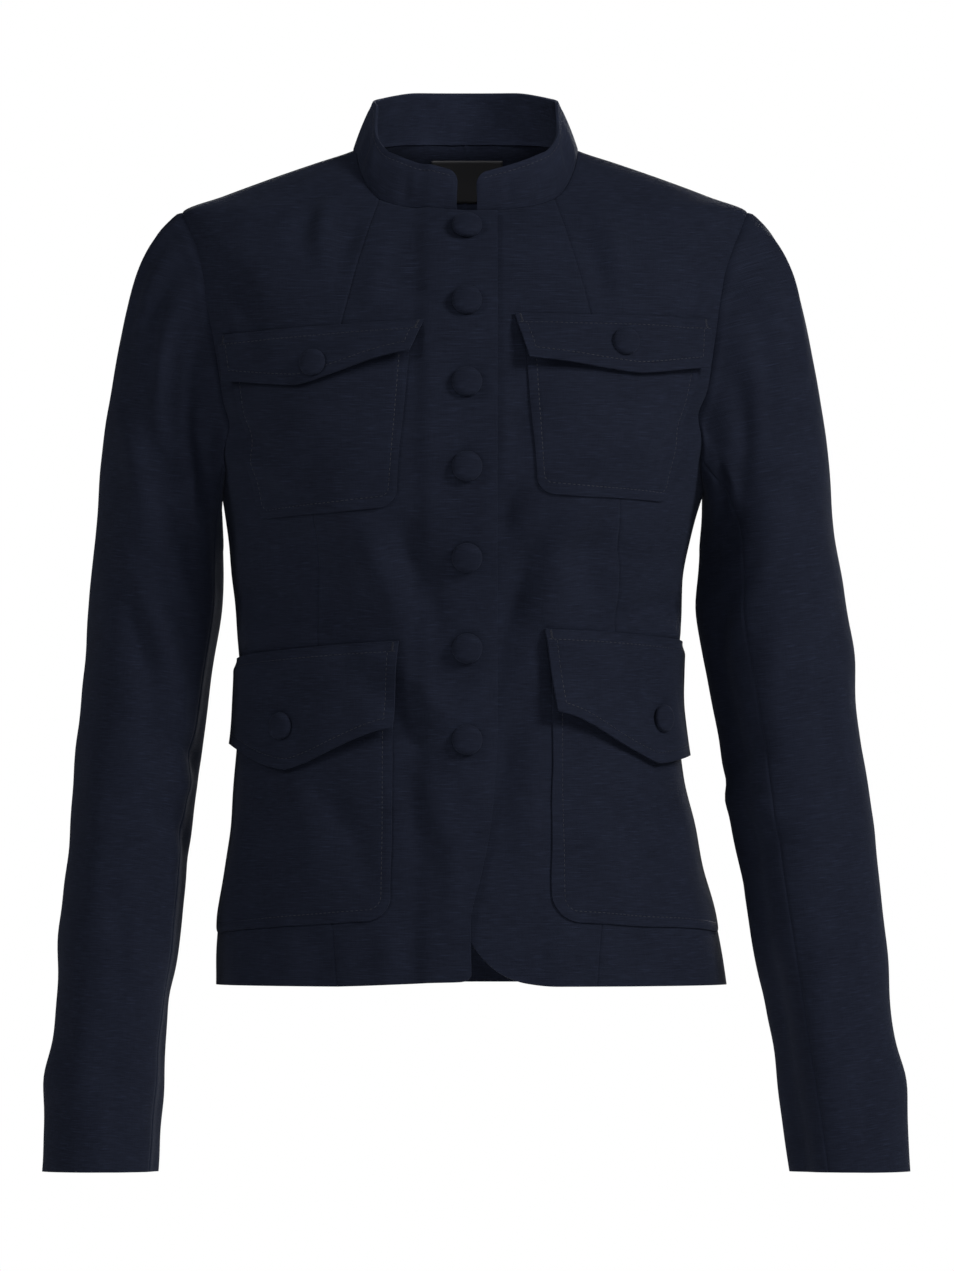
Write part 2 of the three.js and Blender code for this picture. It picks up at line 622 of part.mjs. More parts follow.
function collar(rightCharts, leftCharts) {
  const right = neckStops(-1, rightCharts);
  const left = neckStops(1, leftCharts);
  const stops = [...right, ...left.slice(0, -1).reverse()];
  const outer = Array.from({ length: COLLAR_ROWS + 1 }, () => []);
  for (const { place, point } of stops) {
    const inward = new THREE.Vector3(-point.x, -point.y, 0).normalize();
    const fromEnd = Math.min(Math.abs(Math.abs(point.x) - COLLAR_END_X), COLLAR_CORNER);
    const round = Math.sqrt(COLLAR_CORNER ** 2 - (COLLAR_CORNER - fromEnd) ** 2);
    const rise = track(COLLAR, "turn", place, "rise") - (place < 90 ? COLLAR_CORNER - round : 0);
    const lean = track(COLLAR, "turn", place, "lean");
    for (let row = 0; row <= COLLAR_ROWS; row += 1) {
      const share = row / COLLAR_ROWS;
      const up = new THREE.Vector3(0, 0, SEAM_GAP + rise * share);
      outer[row].push(point.clone().addScaledVector(inward, lean * share).add(up));
    }
  }
  const inner = outer.map((row, i) =>
    row.map((p, j) => {
      const round = row[Math.min(j + 1, row.length - 1)].clone().sub(row[Math.max(j - 1, 0)]);
      const up = outer[Math.min(i + 1, COLLAR_ROWS)][j].clone().sub(outer[Math.max(i - 1, 0)][j]);
      return p.clone().addScaledVector(up.cross(round).normalize(), -WALL);
    }),
  );
  return wall(flipped(outer), flipped(inner));
}

// A cloth patch on the body: its points are the body's, moved out, and it may stand off at its edges.
function appliedPatch(side, rows, columns, chartAt, standAt) {
  const faces = [PATCH_WALL, 0].map((above) =>
    Array.from({ length: rows + 1 }, (_, i) =>
      Array.from({ length: columns + 1 }, (_, j) => {
        const { turn, z } = chartAt(j / columns, i / rows);
        return bodyPoint(side * turn, z).addScaledVector(
          bodyNormal(side * turn, z),
          above + standAt(j / columns, i / rows),
        );
      }),
    ),
  );
  return side > 0 ? wall(...faces) : wall(...faces.map(flipped));
}

// A patch pocket: straight top, two rounded lower corners. Its share across starts at the inner edge.
function pocketChart(pocket, corner, side) {
  return (u, v) => {
    const bottom = mix(...pocket.bottom, u);
    const top = mix(...pocket.top, u);
    const high = mix(bottom, top, v);
    const inner = Math.abs(turnAt(side * mix(pocket.innerBottom, pocket.innerTop, v), high));
    const turn = mix(inner, pocket.outerTurn, u);
    const width = radians(pocket.outerTurn - inner) * track(TORSO, "z", high, "half");
    const fromEdge = Math.min(u, 1 - u) * width;
    const into = Math.max(0, corner - fromEdge);
    const cut = corner - Math.sqrt(corner ** 2 - into ** 2);
    return { turn, z: mix(bottom + cut, top, v) };
  };
}

// A pointed flap: where it is at a share across and up, and which shares a point seen from the front has.
function flapChart(flap, ends, side) {
  const top = (u) => mix(flap.topInner, flap.topOuter, u);
  const low = (u) => {
    const before = u < flap.tipShare;
    const reach = before ? u / flap.tipShare : (1 - u) / (1 - flap.tipShare);
    return mix(before ? flap.sideInner : flap.sideOuter, flap.tip, (ease(reach, 0, 1) + reach) / 2);
  };
  const innerTurn = (v, z) => Math.abs(turnAt(side * (ends.inner + ends.flare * (1 - v)), z));
  const at = (u, v) => {
    const z = mix(low(u), top(u), v);
    return { turn: mix(innerTurn(v, z), ends.outerTurn, u), z };
  };
  const sharesOf = ({ x, z }) => {
    const turn = Math.abs(turnAt(side * x, z));
    const passes = 5;
    let across = 0.5;
    let up = 0.5;
    for (let pass = 0; pass < passes; pass += 1) {
      across = (turn - innerTurn(up, z)) / (ends.outerTurn - innerTurn(up, z));
      up = (z - low(across)) / (top(across) - low(across));
    }
    return [across, up];
  };
  return { at, sharesOf };
}

const flapBase = REST_GAP + PATCH_WALL + REST_GAP;

// A flap lies close at its sewn top and outer end and stands off most at its free lower inner corner.
function flapStand(stand) {
  return (u, v) => flapBase + stand * (1 - v) ** 2 * mix(1, FLAP_CLOSE_SHARE, ease(u, 0, 0.5));
}

// A covered button: a domed disc with a rounded rim, its flat back on the cloth.
function buttonGeometry({ radius, dome, rim }) {
  const { foot, shoulder, widest, domeSteps, sides } = BUTTON_FORM;
  const outline = [new THREE.Vector2(0, 0), new THREE.Vector2(radius * foot, 0)];
  outline.push(new THREE.Vector2(radius, rim * widest), new THREE.Vector2(radius * shoulder, rim));
  for (let k = 1; k <= domeSteps; k += 1) {
    const angle = (Math.PI / 2) * (k / domeSteps);
    const at = k === domeSteps ? 0 : radius * shoulder * Math.cos(angle);
    outline.push(new THREE.Vector2(at, rim + (dome - rim) * Math.sin(angle)));
  }
  return new THREE.LatheGeometry(outline, sides).rotateX(Math.PI / 2);
}

const group = new THREE.Group();
const materials = {
  cloth: { color: NAVY, roughness: 0.9, metalness: 0 },
  label: { color: 0x0c0d10, roughness: 0.8, metalness: 0 },
};

function add(name, geometry, look = "cloth") {
  const mesh = new THREE.Mesh(geometry, new THREE.MeshStandardMaterial(materials[look]));
  mesh.name = name;
  group.add(mesh);
  return mesh;
}

function addButton(name, size, seat, normal) {
  const mesh = add(name, buttonGeometry(size));
  mesh.position.copy(seat).addScaledVector(normal, BUTTON_GAP);
  mesh.quaternion.setFromUnitVectors(new THREE.Vector3(0, 0, 1), normal);
}

function addFrontButton(number, z) {
  const turn = turnAt(0, z);
  const normal = bodyNormal(turn, z);
  const seat = bodyPoint(turn, z).addScaledVector(normal, OVERLAP_LIFT);
  addButton("button_front_" + number, FRONT_BUTTON, seat, normal);
}

// A pocket with its flap, and the button square on the flap's outer face.
function addPocket(level, hand, side, pocket, flap) {
  const name = level + "_" + hand;
  const pocketAt = pocketChart(pocket, POCKET_CORNER[level], side);
  add("pocket_" + name, appliedPatch(side, 9, 9, pocketAt, () => REST_GAP));
  const chart = flapChart(flap, FLAP_ENDS[name], side);
  const standAt = flapStand(FLAP_STAND[level]);
  add("flap_" + name, appliedPatch(side, 4, 10, chart.at, standAt));
  const face = (u, v) => {
    const { turn, z } = chart.at(u, v);
    return bodyPoint(side * turn, z).addScaledVector(bodyNormal(side * turn, z), standAt(u, v) + PATCH_WALL);
  };
  const [across, up] = chart.sharesOf(POCKET_BUTTON_AT[name]);
  const step = 0.05;
  const along = face(across + step, up).sub(face(across - step, up));
  const rise = face(across, up + step).sub(face(across, up - step));
  const normal = along.cross(rise).multiplyScalar(side).normalize();
  addButton("button_" + name, POCKET_BUTTON, face(across, up), normal);
}

function addSide(side, hand, sleeveTable) {
  const sideChart = frontSide(side);
  const backChart = backHalf();
  const centreChart = frontCentre(side);
  add("front_centre_" + hand, bodyWall(centreChart, side, ["end", "top"], true));
  add("front_side_" + hand, bodyWall(sideChart, side, ["start", "end", "top"], false));
  add("back_" + hand, bodyWall(backChart, side, ["start", "end", "top"], false));

  const loop = armhole(side, sideChart, backChart);
  const seams = SLEEVE_SEAMS[hand];
  const grid = sleeveGrid(side, loop, sleeveTable, seams);
  const normals = sleeveNormals(grid, side, loop);
  const frontStep = seams.frontStep;
  const backStep = seams.backStep;
  add("sleeve_upper_" + hand, sleevePiece(grid, normals, side, -backStep, frontStep));
  add("sleeve_under_" + hand, sleevePiece(grid, normals, side, frontStep, 2 * ARM_ROWS - backStep));

  addPocket("chest", hand, side, CHEST_POCKET[hand], CHEST_FLAP[hand]);
  addPocket("lower", hand, side, LOWER_POCKET[hand], LOWER_FLAP[hand]);
  return { centre: centreChart, side: sideChart, back: backChart };
}

const rightCharts = addSide(-1, "right", SLEEVE_RIGHT);
const leftCharts = addSide(1, "left", SLEEVE_LEFT);
add("collar", collar(rightCharts, leftCharts));
FRONT_BUTTON_Z.forEach((z, i) => addFrontButton(i + 1, z));

function neckLabel() {
  const faces = [-WALL - SEAM_GAP, -WALL - SEAM_GAP - LABEL.thick].map((above) =>
    [LABEL.bottom, (LABEL.bottom + LABEL.top) / 2, LABEL.top].map((z) =>
      [-0.5, -0.25, 0, 0.25, 0.5].map((share) => {
        const turn = 180 - turnAt(share * LABEL.width, z);
        return bodyPoint(turn, z).addScaledVector(bodyNormal(turn, z), above);
      }),
    ),
  );
  return wall(...faces.map(flipped));
}
add("neck_label", neckLabel(), "label");

export default group;
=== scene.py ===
import math

import bpy
import numpy as np
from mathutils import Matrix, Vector


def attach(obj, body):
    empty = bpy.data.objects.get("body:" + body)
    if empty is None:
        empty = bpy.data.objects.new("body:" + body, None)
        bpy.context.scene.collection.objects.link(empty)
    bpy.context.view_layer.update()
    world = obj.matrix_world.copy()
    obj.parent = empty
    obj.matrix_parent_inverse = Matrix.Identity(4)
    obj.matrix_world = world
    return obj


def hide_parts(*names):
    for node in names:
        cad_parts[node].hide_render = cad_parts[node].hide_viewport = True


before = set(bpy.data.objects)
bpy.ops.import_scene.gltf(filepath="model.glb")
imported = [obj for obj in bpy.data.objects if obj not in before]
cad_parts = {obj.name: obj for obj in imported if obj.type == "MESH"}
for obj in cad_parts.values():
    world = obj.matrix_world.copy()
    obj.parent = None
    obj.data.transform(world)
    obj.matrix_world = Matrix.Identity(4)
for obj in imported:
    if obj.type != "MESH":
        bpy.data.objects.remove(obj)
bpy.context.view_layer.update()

# The jacket's lengths are in millimetres and become metres when a mesh is made. Light and camera are in metres.
METRE = 0.001
HEM_Z = -554
CUFF_Z = -677
UNDERARM_Z = -222
SHOULDER_TIP_Z = -43
NECK_POINT_Z = -2
FRONT_NECK_Z = -45
BACK_NECK_Z = 3
WALL = 2.0
EDGE_PAST_CENTRE = 20
OVERLAP_LIFT = 2.9
LIFT_FROM_X = -36
LIFT_FULL_X = -24

# Rows of a panel's outer edge up the side seam, armhole and shoulder seam, how many fine rows each becomes, and
# the fine columns of each panel.
SIDE_ROWS, ARM_ROWS, SHOULDER_ROWS = 13, 10, 5
ROWS = SIDE_ROWS + ARM_ROWS + SHOULDER_ROWS
ROW_FINE = 6
CENTRE_COLUMNS, SIDE_COLUMNS, BACK_COLUMNS = 40, 48, 76
UPPER_SLEEVE_COLUMNS, UNDER_SLEEVE_COLUMNS = 76, 34


def table(names, rows):
    """A table of numbers with named columns."""
    return np.array(rows, dtype=[(name, float) for name in names.split()])


def entries(names, rows):
    """Each row's first value is its name, the others are named here."""
    return {row[0]: dict(zip(names.split(), row[1:])) for row in rows}


# The body's sections from hem to neck: half width, depths to the front and back, and how far off the centre.
TORSO = table("z half front back shift", [
    (-554, 169.5, 113, 114, 2.5), (-537, 168, 112, 112, 2), (-507, 163, 111, 108, 0.5),
    (-478, 157, 110, 103, -2), (-448, 151.5, 109, 97, -3.5), (-418, 147, 107, 92, -5),
    (-385, 145, 104, 87, -5.5), (-350, 144.5, 101, 84, -6), (-320, 146, 103, 85, -6),
    (-290, 148.5, 109, 90, -6), (-255, 154, 117, 96, -4.5), (-222, 160, 121, 101, -3),
    (-190, 170, 119, 104, -2.5), (-150, 179, 111, 105, -2), (-110, 186, 98, 103, -2),
    (-80, 189.5, 84, 97, -1.5), (-60, 190, 70, 88, -1.5), (-43, 187, 55, 79, -1.5), (-32, 160, 44, 73, -1),
    (-20, 128, 35, 67, -1), (-10, 99, 25, 61, -1), (-2, 75, 15, 56, -1), (6, 60, 9, 53, -1),
])
BUST = {"x": 84, "z": -226, "spread": 82, "height": 7}

# The neck seam, the princess seam and the armhole, seen from the front. The armhole is in shares of the half width.
FRONT_NECK = table("along x z", [
    (0, 0, -45), (0.35, 40, -40.5), (0.55, 58, -35), (0.7, 66, -26), (0.85, 71.5, -14), (1, 74, -2),
])
PRINCESS_ALONG = 0.55
PRINCESS = table("z x", [
    (-554, 86), (-480, 91), (-400, 95), (-330, 98), (-280, 101), (-226, 101), (-170, 94), (-126, 85), (-90, 76),
    (-60, 67), (-35, 58),
])
ARMHOLE = table("z frontShare backShare", [
    (-222, 1, 1), (-216, 0.975, 0.98), (-205, 0.945, 0.955), (-185, 0.925, 0.935), (-150, 0.915, 0.915),
    (-120, 0.91, 0.91), (-90, 0.912, 0.915), (-68, 0.935, 0.94), (-52, 0.97, 0.975), (-43, 1, 1),
])
# By side (-1 is the wearer's right): how far a front's edge lies past the centre, and the corner at its foot.
UPPER_EDGE = [(-482, 9), (-452, 15), (-420, 18.5), (-390, 20), (-45, 20)]
FRONT_EDGE = {
    -1: table("z x", [(-546.5, 3), (-530, 2.6), (-512, 2.4), *UPPER_EDGE]),
    1: table("z x", [(-512, 2), *UPPER_EDGE]),
}
CORNER = {
    -1: table("along x z", [
        (0, 3, -546.5), (0.03, 0.3, -550), (0.09, -5, -551), (0.3, -24, -551.5), (0.7, -59, -553),
        (1, -86, -554),
    ]),
    1: table("along x z", [
        (0, 2, -512), (0.12, -2, -523), (0.28, -11, -536), (0.45, -24, -546.5), (0.62, -40, -552),
        (0.8, -60, -554), (1, -86, -554),
    ]),
}
# Heights of each inner edge at the levels of the hem, underarm, shoulder tip and neck.
ROW_LEVELS = {
    -1: (-546.5, -226, -98, FRONT_NECK_Z),
    1: (-512, -226, -98, FRONT_NECK_Z),
    "princess": (HEM_Z, -232, -88, -35),
    "back": (HEM_Z, -214, -40, BACK_NECK_Z),
}

# Sleeve sections from the biceps to the cuff.
SLEEVES = {
    "right": table("z x half y depth", [
        (-264, -204, 43, 4, 54), (-300, -206, 44.5, 3, 53.5), (-350, -212, 43.3, 0, 51),
        (-399, -217, 41.6, -5, 48), (-448, -222, 40.8, -12, 45.5), (-498, -227.4, 40, -19, 43.5),
        (-547, -232, 39.6, -25, 41.5), (-597, -236.6, 39.3, -30, 39.5), (-640, -240, 39.1, -34, 38),
        (-677, -242.3, 39, -37, 37),
    ]),
    "left": table("z x half y depth", [
        (-264, 199, 46.5, 4, 54), (-300, 201, 50, 3, 53), (-350, 208, 49, 0, 50),
        (-399, 215, 47.5, -5, 47), (-448, 222, 46.3, -12, 44.5), (-498, 229, 44.9, -19, 42.5),
        (-547, 236, 43.4, -25, 41), (-597, 243.2, 41.9, -30, 39), (-640, 249, 41, -34, 37.5),
        (-677, 253, 40.6, -37, 36.5),
    ]),
}
# The sleeve head's curve: how hard it is pulled out at the armhole and back at the biceps, in mm, and its fall in
# degrees.
CAP = {"topPull": 150, "underPull": 15, "topDrop": 20, "sideDrop": 25, "endTop": 170, "endUnder": 40}
SLEEVE_SEAMS = entries("frontStep backStep front back", [("right", 8, 7, 152, 118), ("left", 8, 7, 112, 118)])
CAP_RINGS, FOREARM_RINGS = 44, 84

# The collar's height and its lean inwards, round the neck.
COLLAR = table("turn rise lean", [
    (0, 24.5, 5), (20, 28.5, 6.5), (45, 32, 8), (65, 30.5, 8.5), (78, 30.5, 11.5), (90, 33, 13.5),
    (105, 34, 13), (120, 34, 11), (150, 34.5, 7.5), (170, 34.5, 5.6), (180, 34.5, 5.5),
])
COLLAR_END_X = 6.8
COLLAR_CORNER = 7

# Pockets and flaps as seen from the front. The outer edge is set by its turn.
POCKETS = entries("top bottom inner outerTurn corner", [
    ("chest_right", (-124, -134), (-238, -247), (46, 37), 59.5, 12),
    ("chest_left", (-120, -123), (-229, -235), (45, 38), 59.5, 12),
    ("lower_right", (-335, -347), (-510, -521), (50, 49), 88, 16),
    ("lower_left", (-326, -336), (-511, -520), (58, 55), 88, 16),
])
FLAPS = entries("top side tip tipShare inner flare outerTurn stand button droop", [
    ("chest_right", (-115.5, -125), (-138, -155), -159, 0.53, 28, 9, 61, 5, (99, -145), 0.10),
    ("chest_left", (-111.5, -114), (-142.5, -146), -151, 0.54, 31, 9, 61, 6, (102, -131), -0.16),
    ("lower_right", (-326, -338), (-384, -395), -412, 0.47, 44, 3.5, 86, 5, (119, -383), 0.05),
    ("lower_left", (-317.5, -327), (-374, -403), -408, 0.58, 49.5, 6.5, 86, 7, (124, -378), -0.05),
])
FRONT_BUTTON = {"radius": 10, "dome": 5.0, "rim": 1.7}
POCKET_BUTTON = {"radius": 9, "dome": 4.4, "rim": 1.6}
# How far the buttons' feet stand off the cloth.
FRONT_SEAT, POCKET_SEAT = 1.1, 0.8
FRONT_BUTTON_Z = (-56, -104, -157, -212, -271, -331, -392)


# Reading tables


def track(rows, at, name, key=None):
    """One column of a table at places in its first or another column, on a curve that never overshoots."""
    key = key or rows.dtype.names[0]
    order = np.argsort(rows[key])
    x, y = rows[key][order], rows[name][order]
    at = np.clip(np.asarray(at, float), x[0], x[-1])
    slope = np.diff(y) / np.diff(x)
    tangent = np.empty_like(y)
    tangent[0], tangent[-1] = slope[0], slope[-1]
    before, after = slope[:-1], slope[1:]
    total = np.where(before + after == 0, 1, before + after)
    tangent[1:-1] = np.where(before * after <= 0, 0, 2 * before * after / total)
    i = np.clip(np.searchsorted(x, at, side="right") - 1, 0, len(x) - 2)
    span = x[i + 1] - x[i]
    t = (at - x[i]) / span
    rise, early, late = y[i + 1] - y[i], tangent[i] * span, tangent[i + 1] * span
    return y[i] + early * t + (3 * rise - 2 * early - late) * t**2 + (early + late - 2 * rise) * t**3


def mix(a, b, t):
    return a + (b - a) * t


def ease(x, low, high):
    t = np.clip((np.asarray(x, float) - low) / (high - low), 0, 1)
    return t * t * (3 - 2 * t)


def unit(v):
    return v / np.maximum(np.linalg.norm(v, axis=-1, keepdims=True), 1e-9)


def arc_length(points, axis=0):
    """Distances along rows or columns of points, from the first one."""
    steps = np.linalg.norm(np.diff(points, axis=axis), axis=-1)
    return np.concatenate([np.zeros_like(steps.take([0], axis=axis)), np.cumsum(steps, axis=axis)], axis=axis)


# Folds, given one by one. Each is a soft ridge (depth above 0) or trough: where it is, its angle from level, its
# half length and half width, and its depth.
FRONT_FOLDS = table("x z slant long wide depth", [
    (-56, -280, -64, 44, 13, 4.2), (-92, -296, -64, 42, 12, -3.6), (-27, -288, -72, 34, 9, -2.4),
    (58, -276, 80, 50, 16, 4.0), (33, -300, 72, 56, 10, -3.4), (27, -246, 84, 20, 9, -2.6),
    (84, -292, -64, 36, 12, -1.8), (-26, -362, -50, 32, 9, 2.3), (-40, -382, -54, 30, 9, -1.8),
    (27, -404, 76, 38, 10, -2.6), (44, -430, 78, 44, 12, 1.8), (-30, -452, -80, 42, 10, -1.8),
    (-10, -470, -82, 36, 8, 1.2), (-130, -300, -12, 28, 8, -2.8), (-134, -320, 8, 24, 7, 2.0),
    (126, -304, 12, 28, 8, -2.8), (132, -322, -8, 24, 7, 2.0), (-93, -44, 76, 24, 7, 2.6),
    (-104, -38, 70, 22, 7, -2.6), (-78, -62, 66, 24, 7, -1.8), (-60, -84, 74, 26, 8, 1.2),
    (96, -62, -70, 26, 8, 1.6), (84, -74, -66, 24, 7, -1.4), (-150, -98, -66, 28, 8, -2.4),
    (151, -102, 64, 28, 8, -2.4), (146, -184, 36, 32, 9, -3.0), (118, -196, 20, 34, 16, 2.2),
    (-146, -192, -36, 32, 9, -2.6), (-132, -212, -30, 30, 8, 1.8), (-34, -96, -20, 20, 6, -1.2),
    (34, -120, 14, 18, 6, -1.0), (36, -178, 80, 24, 8, -1.4), (74, -266, 6, 38, 10, -2.0),
    (-74, -262, -8, 36, 9, -1.6), (-110, -430, -70, 36, 12, 1.8), (-78, -450, -62, 34, 10, -1.8),
    (92, -452, 78, 44, 13, 1.6), (122, -470, 82, 40, 12, -1.8), (110, -528, 84, 28, 13, -2.2),
    (60, -536, 86, 22, 10, 1.4), (-98, -530, -84, 28, 13, -2.2), (-52, -530, -86, 24, 10, 1.4),
])
BACK_FOLDS = table("x z slant long wide depth", [
    (0, -300, 2, 60, 9, -3.0), (40, -318, 14, 46, 8, 2.4), (-48, -324, -12, 44, 8, 2.3),
    (62, -278, 24, 40, 8, -2.6), (-66, -284, -20, 42, 8, -2.8), (100, -258, 34, 30, 8, 1.8),
    (-104, -262, -30, 32, 8, 1.6), (96, -120, 58, 42, 9, -2.6), (-98, -126, -60, 42, 9, -2.7),
    (80, -136, 62, 36, 9, 1.6), (118, -180, 72, 34, 8, 2.2), (-120, -176, -70, 34, 8, 2.0),
    (20, -32, 10, 30, 6, -1.4), (70, -500, 84, 44, 14, -2.6), (-60, -505, -82, 44, 14, -2.8),
    (24, -470, 86, 46, 12, 2.0), (120, -480, 80, 40, 13, 2.2), (-116, -486, -80, 40, 13, 2.0),
])
# The sleeves' folds are placed by height and degrees round from the outer side; long and wide are in mm. Arm is
# -1 for the right sleeve, 1 for the left one and 0 for both.
SLEEVE_FOLDS = table("arm z round slant long wide depth", [
    (-1, -222, 92, -62, 52, 9, -4.6), (-1, -236, 120, -62, 46, 9, 3.4), (-1, -210, 62, -66, 44, 10, 3.0),
    (-1, -300, 108, -58, 42, 9, -3.8), (-1, -332, 84, -70, 50, 8, -3.6), (-1, -348, 116, -68, 42, 8, 3.4),
    (-1, -395, 142, -20, 32, 8, -2.4), (-1, -420, 140, 12, 30, 8, 2.0), (-1, -448, 148, -22, 30, 8, -2.2),
    (-1, -452, 60, -78, 44, 11, 1.6), (-1, -525, 92, -80, 50, 10, -1.8), (-1, -600, 66, -86, 50, 12, 1.6),
    (-1, -640, 104, -84, 40, 9, -1.2), (1, -236, 112, -70, 42, 10, -2.4), (1, -250, 84, -72, 40, 10, 1.8),
    (1, -300, 130, -58, 36, 9, -2.4), (1, -340, 94, -76, 48, 10, 1.8), (1, -380, 60, -80, 44, 11, -1.6),
    (1, -402, 150, -16, 30, 8, -2.4), (1, -430, 142, 14, 30, 8, 2.0), (1, -462, 140, -20, 30, 9, -1.8),
    (1, -500, 72, -82, 50, 12, -1.6), (1, -580, 100, -84, 50, 12, 1.6), (1, -634, 70, -86, 36, 10, -1.2),
    (0, -340, -60, -34, 40, 11, -2.6), (0, -400, -90, 8, 40, 11, -2.4), (0, -440, -70, -10, 36, 10, 2.2),
    (0, -480, -110, 12, 36, 11, -1.8), (0, -520, -80, 10, 42, 17, 2.2), (0, -560, -120, -14, 34, 12, -1.8),
    (0, -620, 10, 10, 42, 17, 1.4), (0, -250, -50, -50, 40, 11, -2.0), (0, -270, -96, -46, 40, 11, 1.8),
])
RIGHT_SLEEVE_SHARE, LEFT_SLEEVE_SHARE = 0.65, 0.85
SLEEVE_FOLDS["depth"] *= np.where(SLEEVE_FOLDS["arm"] < 0, RIGHT_SLEEVE_SHARE, LEFT_SLEEVE_SHARE)
# By side: the long soft hollow down the front of each sleeve, by its degrees round, reach and depth.
SLEEVE_HOLLOW = {-1: (168, 16, -3.0), 1: (147, 20, -6.0)}
# Dimples and creases of the sleeve head: degrees round, distance from the armhole as a share of the cap, width
# in degrees and depth.
CAP_FOLDS = table("round far wide depth", [
    (14, 0.02, 5, -0.9), (24, 0.05, 6, 0.9), (36, 0.08, 6, -1.5), (48, 0.1, 7, 1.4), (60, 0.14, 7, -2.2),
    (72, 0.2, 8, 1.8), (86, 0.26, 8, -2.4), (100, 0.32, 9, 1.8), (118, 0.38, 9, -2.2), (-26, 0.08, 7, -1.4),
    (-40, 0.1, 7, 1.3), (-54, 0.16, 8, -1.8), (-74, 0.24, 9, 1.6), (-96, 0.32, 10, -2.2), (-120, 0.4, 10, 1.8),
])

# Every fold's depth is taken this many times, and its line bends by BOW.
FOLD_DEPTH, BOW = 1.9, 0.12
rng = np.random.default_rng(7)


def random_wave(length, height):
    direction = rng.normal(size=3)
    return direction / np.linalg.norm(direction) * 2 * math.pi / length, rng.uniform(0, 2 * math.pi), height


RIPPLES = [
    random_wave(length, height)
    for length, height in ((150, 0.5), (105, 0.45), (76, 0.32), (54, 0.22), (38, 0.14), (27, 0.08)) * 2
]


def ripple(point):
    """Faint unevenness of hanging cloth, the same on both sides of a seam."""
    return sum(height * np.sin(point @ wave + phase) for wave, phase, height in RIPPLES)


def fold(f, across, z):
    """One fold's height at lengths across from its middle and at heights."""
    up, slant = z - f["z"], math.radians(f["slant"])
    along = across * math.cos(slant) + up * math.sin(slant)
    off = up * math.cos(slant) - across * math.sin(slant)
    bow = off + BOW * along**2 / f["long"]
    return FOLD_DEPTH * f["depth"] * np.exp(-((along / f["long"]) ** 2) - (bow / f["wide"]) ** 2)


# The body's surface


def body_base(turn, z):
    """The body's plain outer face. The turn is 0 at the centre front, 90 at the wearer's left."""
    angle = np.radians(turn)
    depth = np.where(np.cos(angle) > 0, track(TORSO, z, "front"), track(TORSO, z, "back"))
    x = track(TORSO, z, "shift") + track(TORSO, z, "half") * np.sin(angle)
    away = np.hypot(np.abs(x) - BUST["x"], z - BUST["z"]) / BUST["spread"]
    mound = np.where(np.cos(angle) > 0, BUST["height"] * np.exp(-2 * away**2), 0)
    return np.stack([x, -depth * np.cos(angle) - mound, z + 0 * x], axis=-1)


def body_normal(turn, z):
    step = 0.5
    around = body_base(turn + step, z) - body_base(turn - step, z)
    up = body_base(turn, z + step) - body_base(turn, z - step)
    return unit(np.cross(around, up))


def body_relief(turn, z):
    """Folds and unevenness of the body's cloth, faded out at the neck; the folds fade at the side seams too."""
    point = body_base(turn, z)
    x = point[..., 0]
    front = np.cos(np.radians(turn)) > 0
    near, far = (sum(fold(f, x - f["x"], z) for f in folds) for folds in (FRONT_FOLDS, BACK_FOLDS))
    level = ease(-z, 20, 70)
    side_fade = ease(np.abs(np.cos(np.radians(turn))), 0, 0.35)
    return level * (side_fade * np.where(front, near, far) + ripple(point))


def body_place(turn, z, above=0.0):
    """A point above the body's folded face."""
    turn, z = np.asarray(turn, float), np.asarray(z, float)
    lift = np.asarray(above) + body_relief(turn, z)
    return body_base(turn, z) + body_normal(turn, z) * lift[..., None]


def turn_at(x, z):
    """The turn, -90 to 90, at which the front is x mm off the centre."""
    share = (x - track(TORSO, z, "shift")) / track(TORSO, z, "half")
    return np.degrees(np.arcsin(np.clip(share, -1, 1)))


def overlap_lift(x, side):
    """The wearer's right front laps over the left, so its edge strip lies further out."""
    return OVERLAP_LIFT * ease(x, LIFT_FROM_X, LIFT_FULL_X) if side < 0 else 0 * x


# Panels as charts of turn and height


def row_level(levels, share):
    stops = np.array([0, SIDE_ROWS, SIDE_ROWS + ARM_ROWS, ROWS]) / ROWS
    return np.interp(share, stops, levels)


def outer_edge(share, column, sign):
    """The side seam, armhole and shoulder seam, from hem to neck point."""
    row = share * ROWS
    if row <= SIDE_ROWS:
        return 90.0, mix(HEM_Z, UNDERARM_Z, row / SIDE_ROWS)
    if row >= SIDE_ROWS + ARM_ROWS:
        return 90.0, mix(SHOULDER_TIP_Z, NECK_POINT_Z, (row - SIDE_ROWS - ARM_ROWS) / SHOULDER_ROWS)
    along = (row - SIDE_ROWS) / ARM_ROWS
    z = mix(UNDERARM_Z, SHOULDER_TIP_Z, (1 - math.cos(math.pi * along)) / 2)
    turn = math.degrees(math.asin(min(1.0, track(ARMHOLE, z, column))))
    return (turn if sign > 0 else 180 - turn), z


def on_side(side, x, z):
    """Turn and height, counted from the centre front, of a place x mm to one side."""
    return side * turn_at(side * x, z), z


def princess_edge(z, side):
    return on_side(side, track(PRINCESS, z, "x"), z)


def neck_edge(along, side):
    z = track(FRONT_NECK, along, "z")
    return (90.0, z) if along >= 1 else on_side(side, track(FRONT_NECK, along, "x"), z)


def back_neck(u):
    return mix(NECK_POINT_Z, BACK_NECK_Z, ease(u, 0, 0.6))


def spaced(count, near):
    """Shares from 0 to 1 with a few close ones at each end, where a seam's edge rolls in."""
    even = np.linspace(near[-1], 1 - near[-1], count)
    return np.concatenate([near[:-1], even, 1 - np.array(near[:-1])[::-1]])


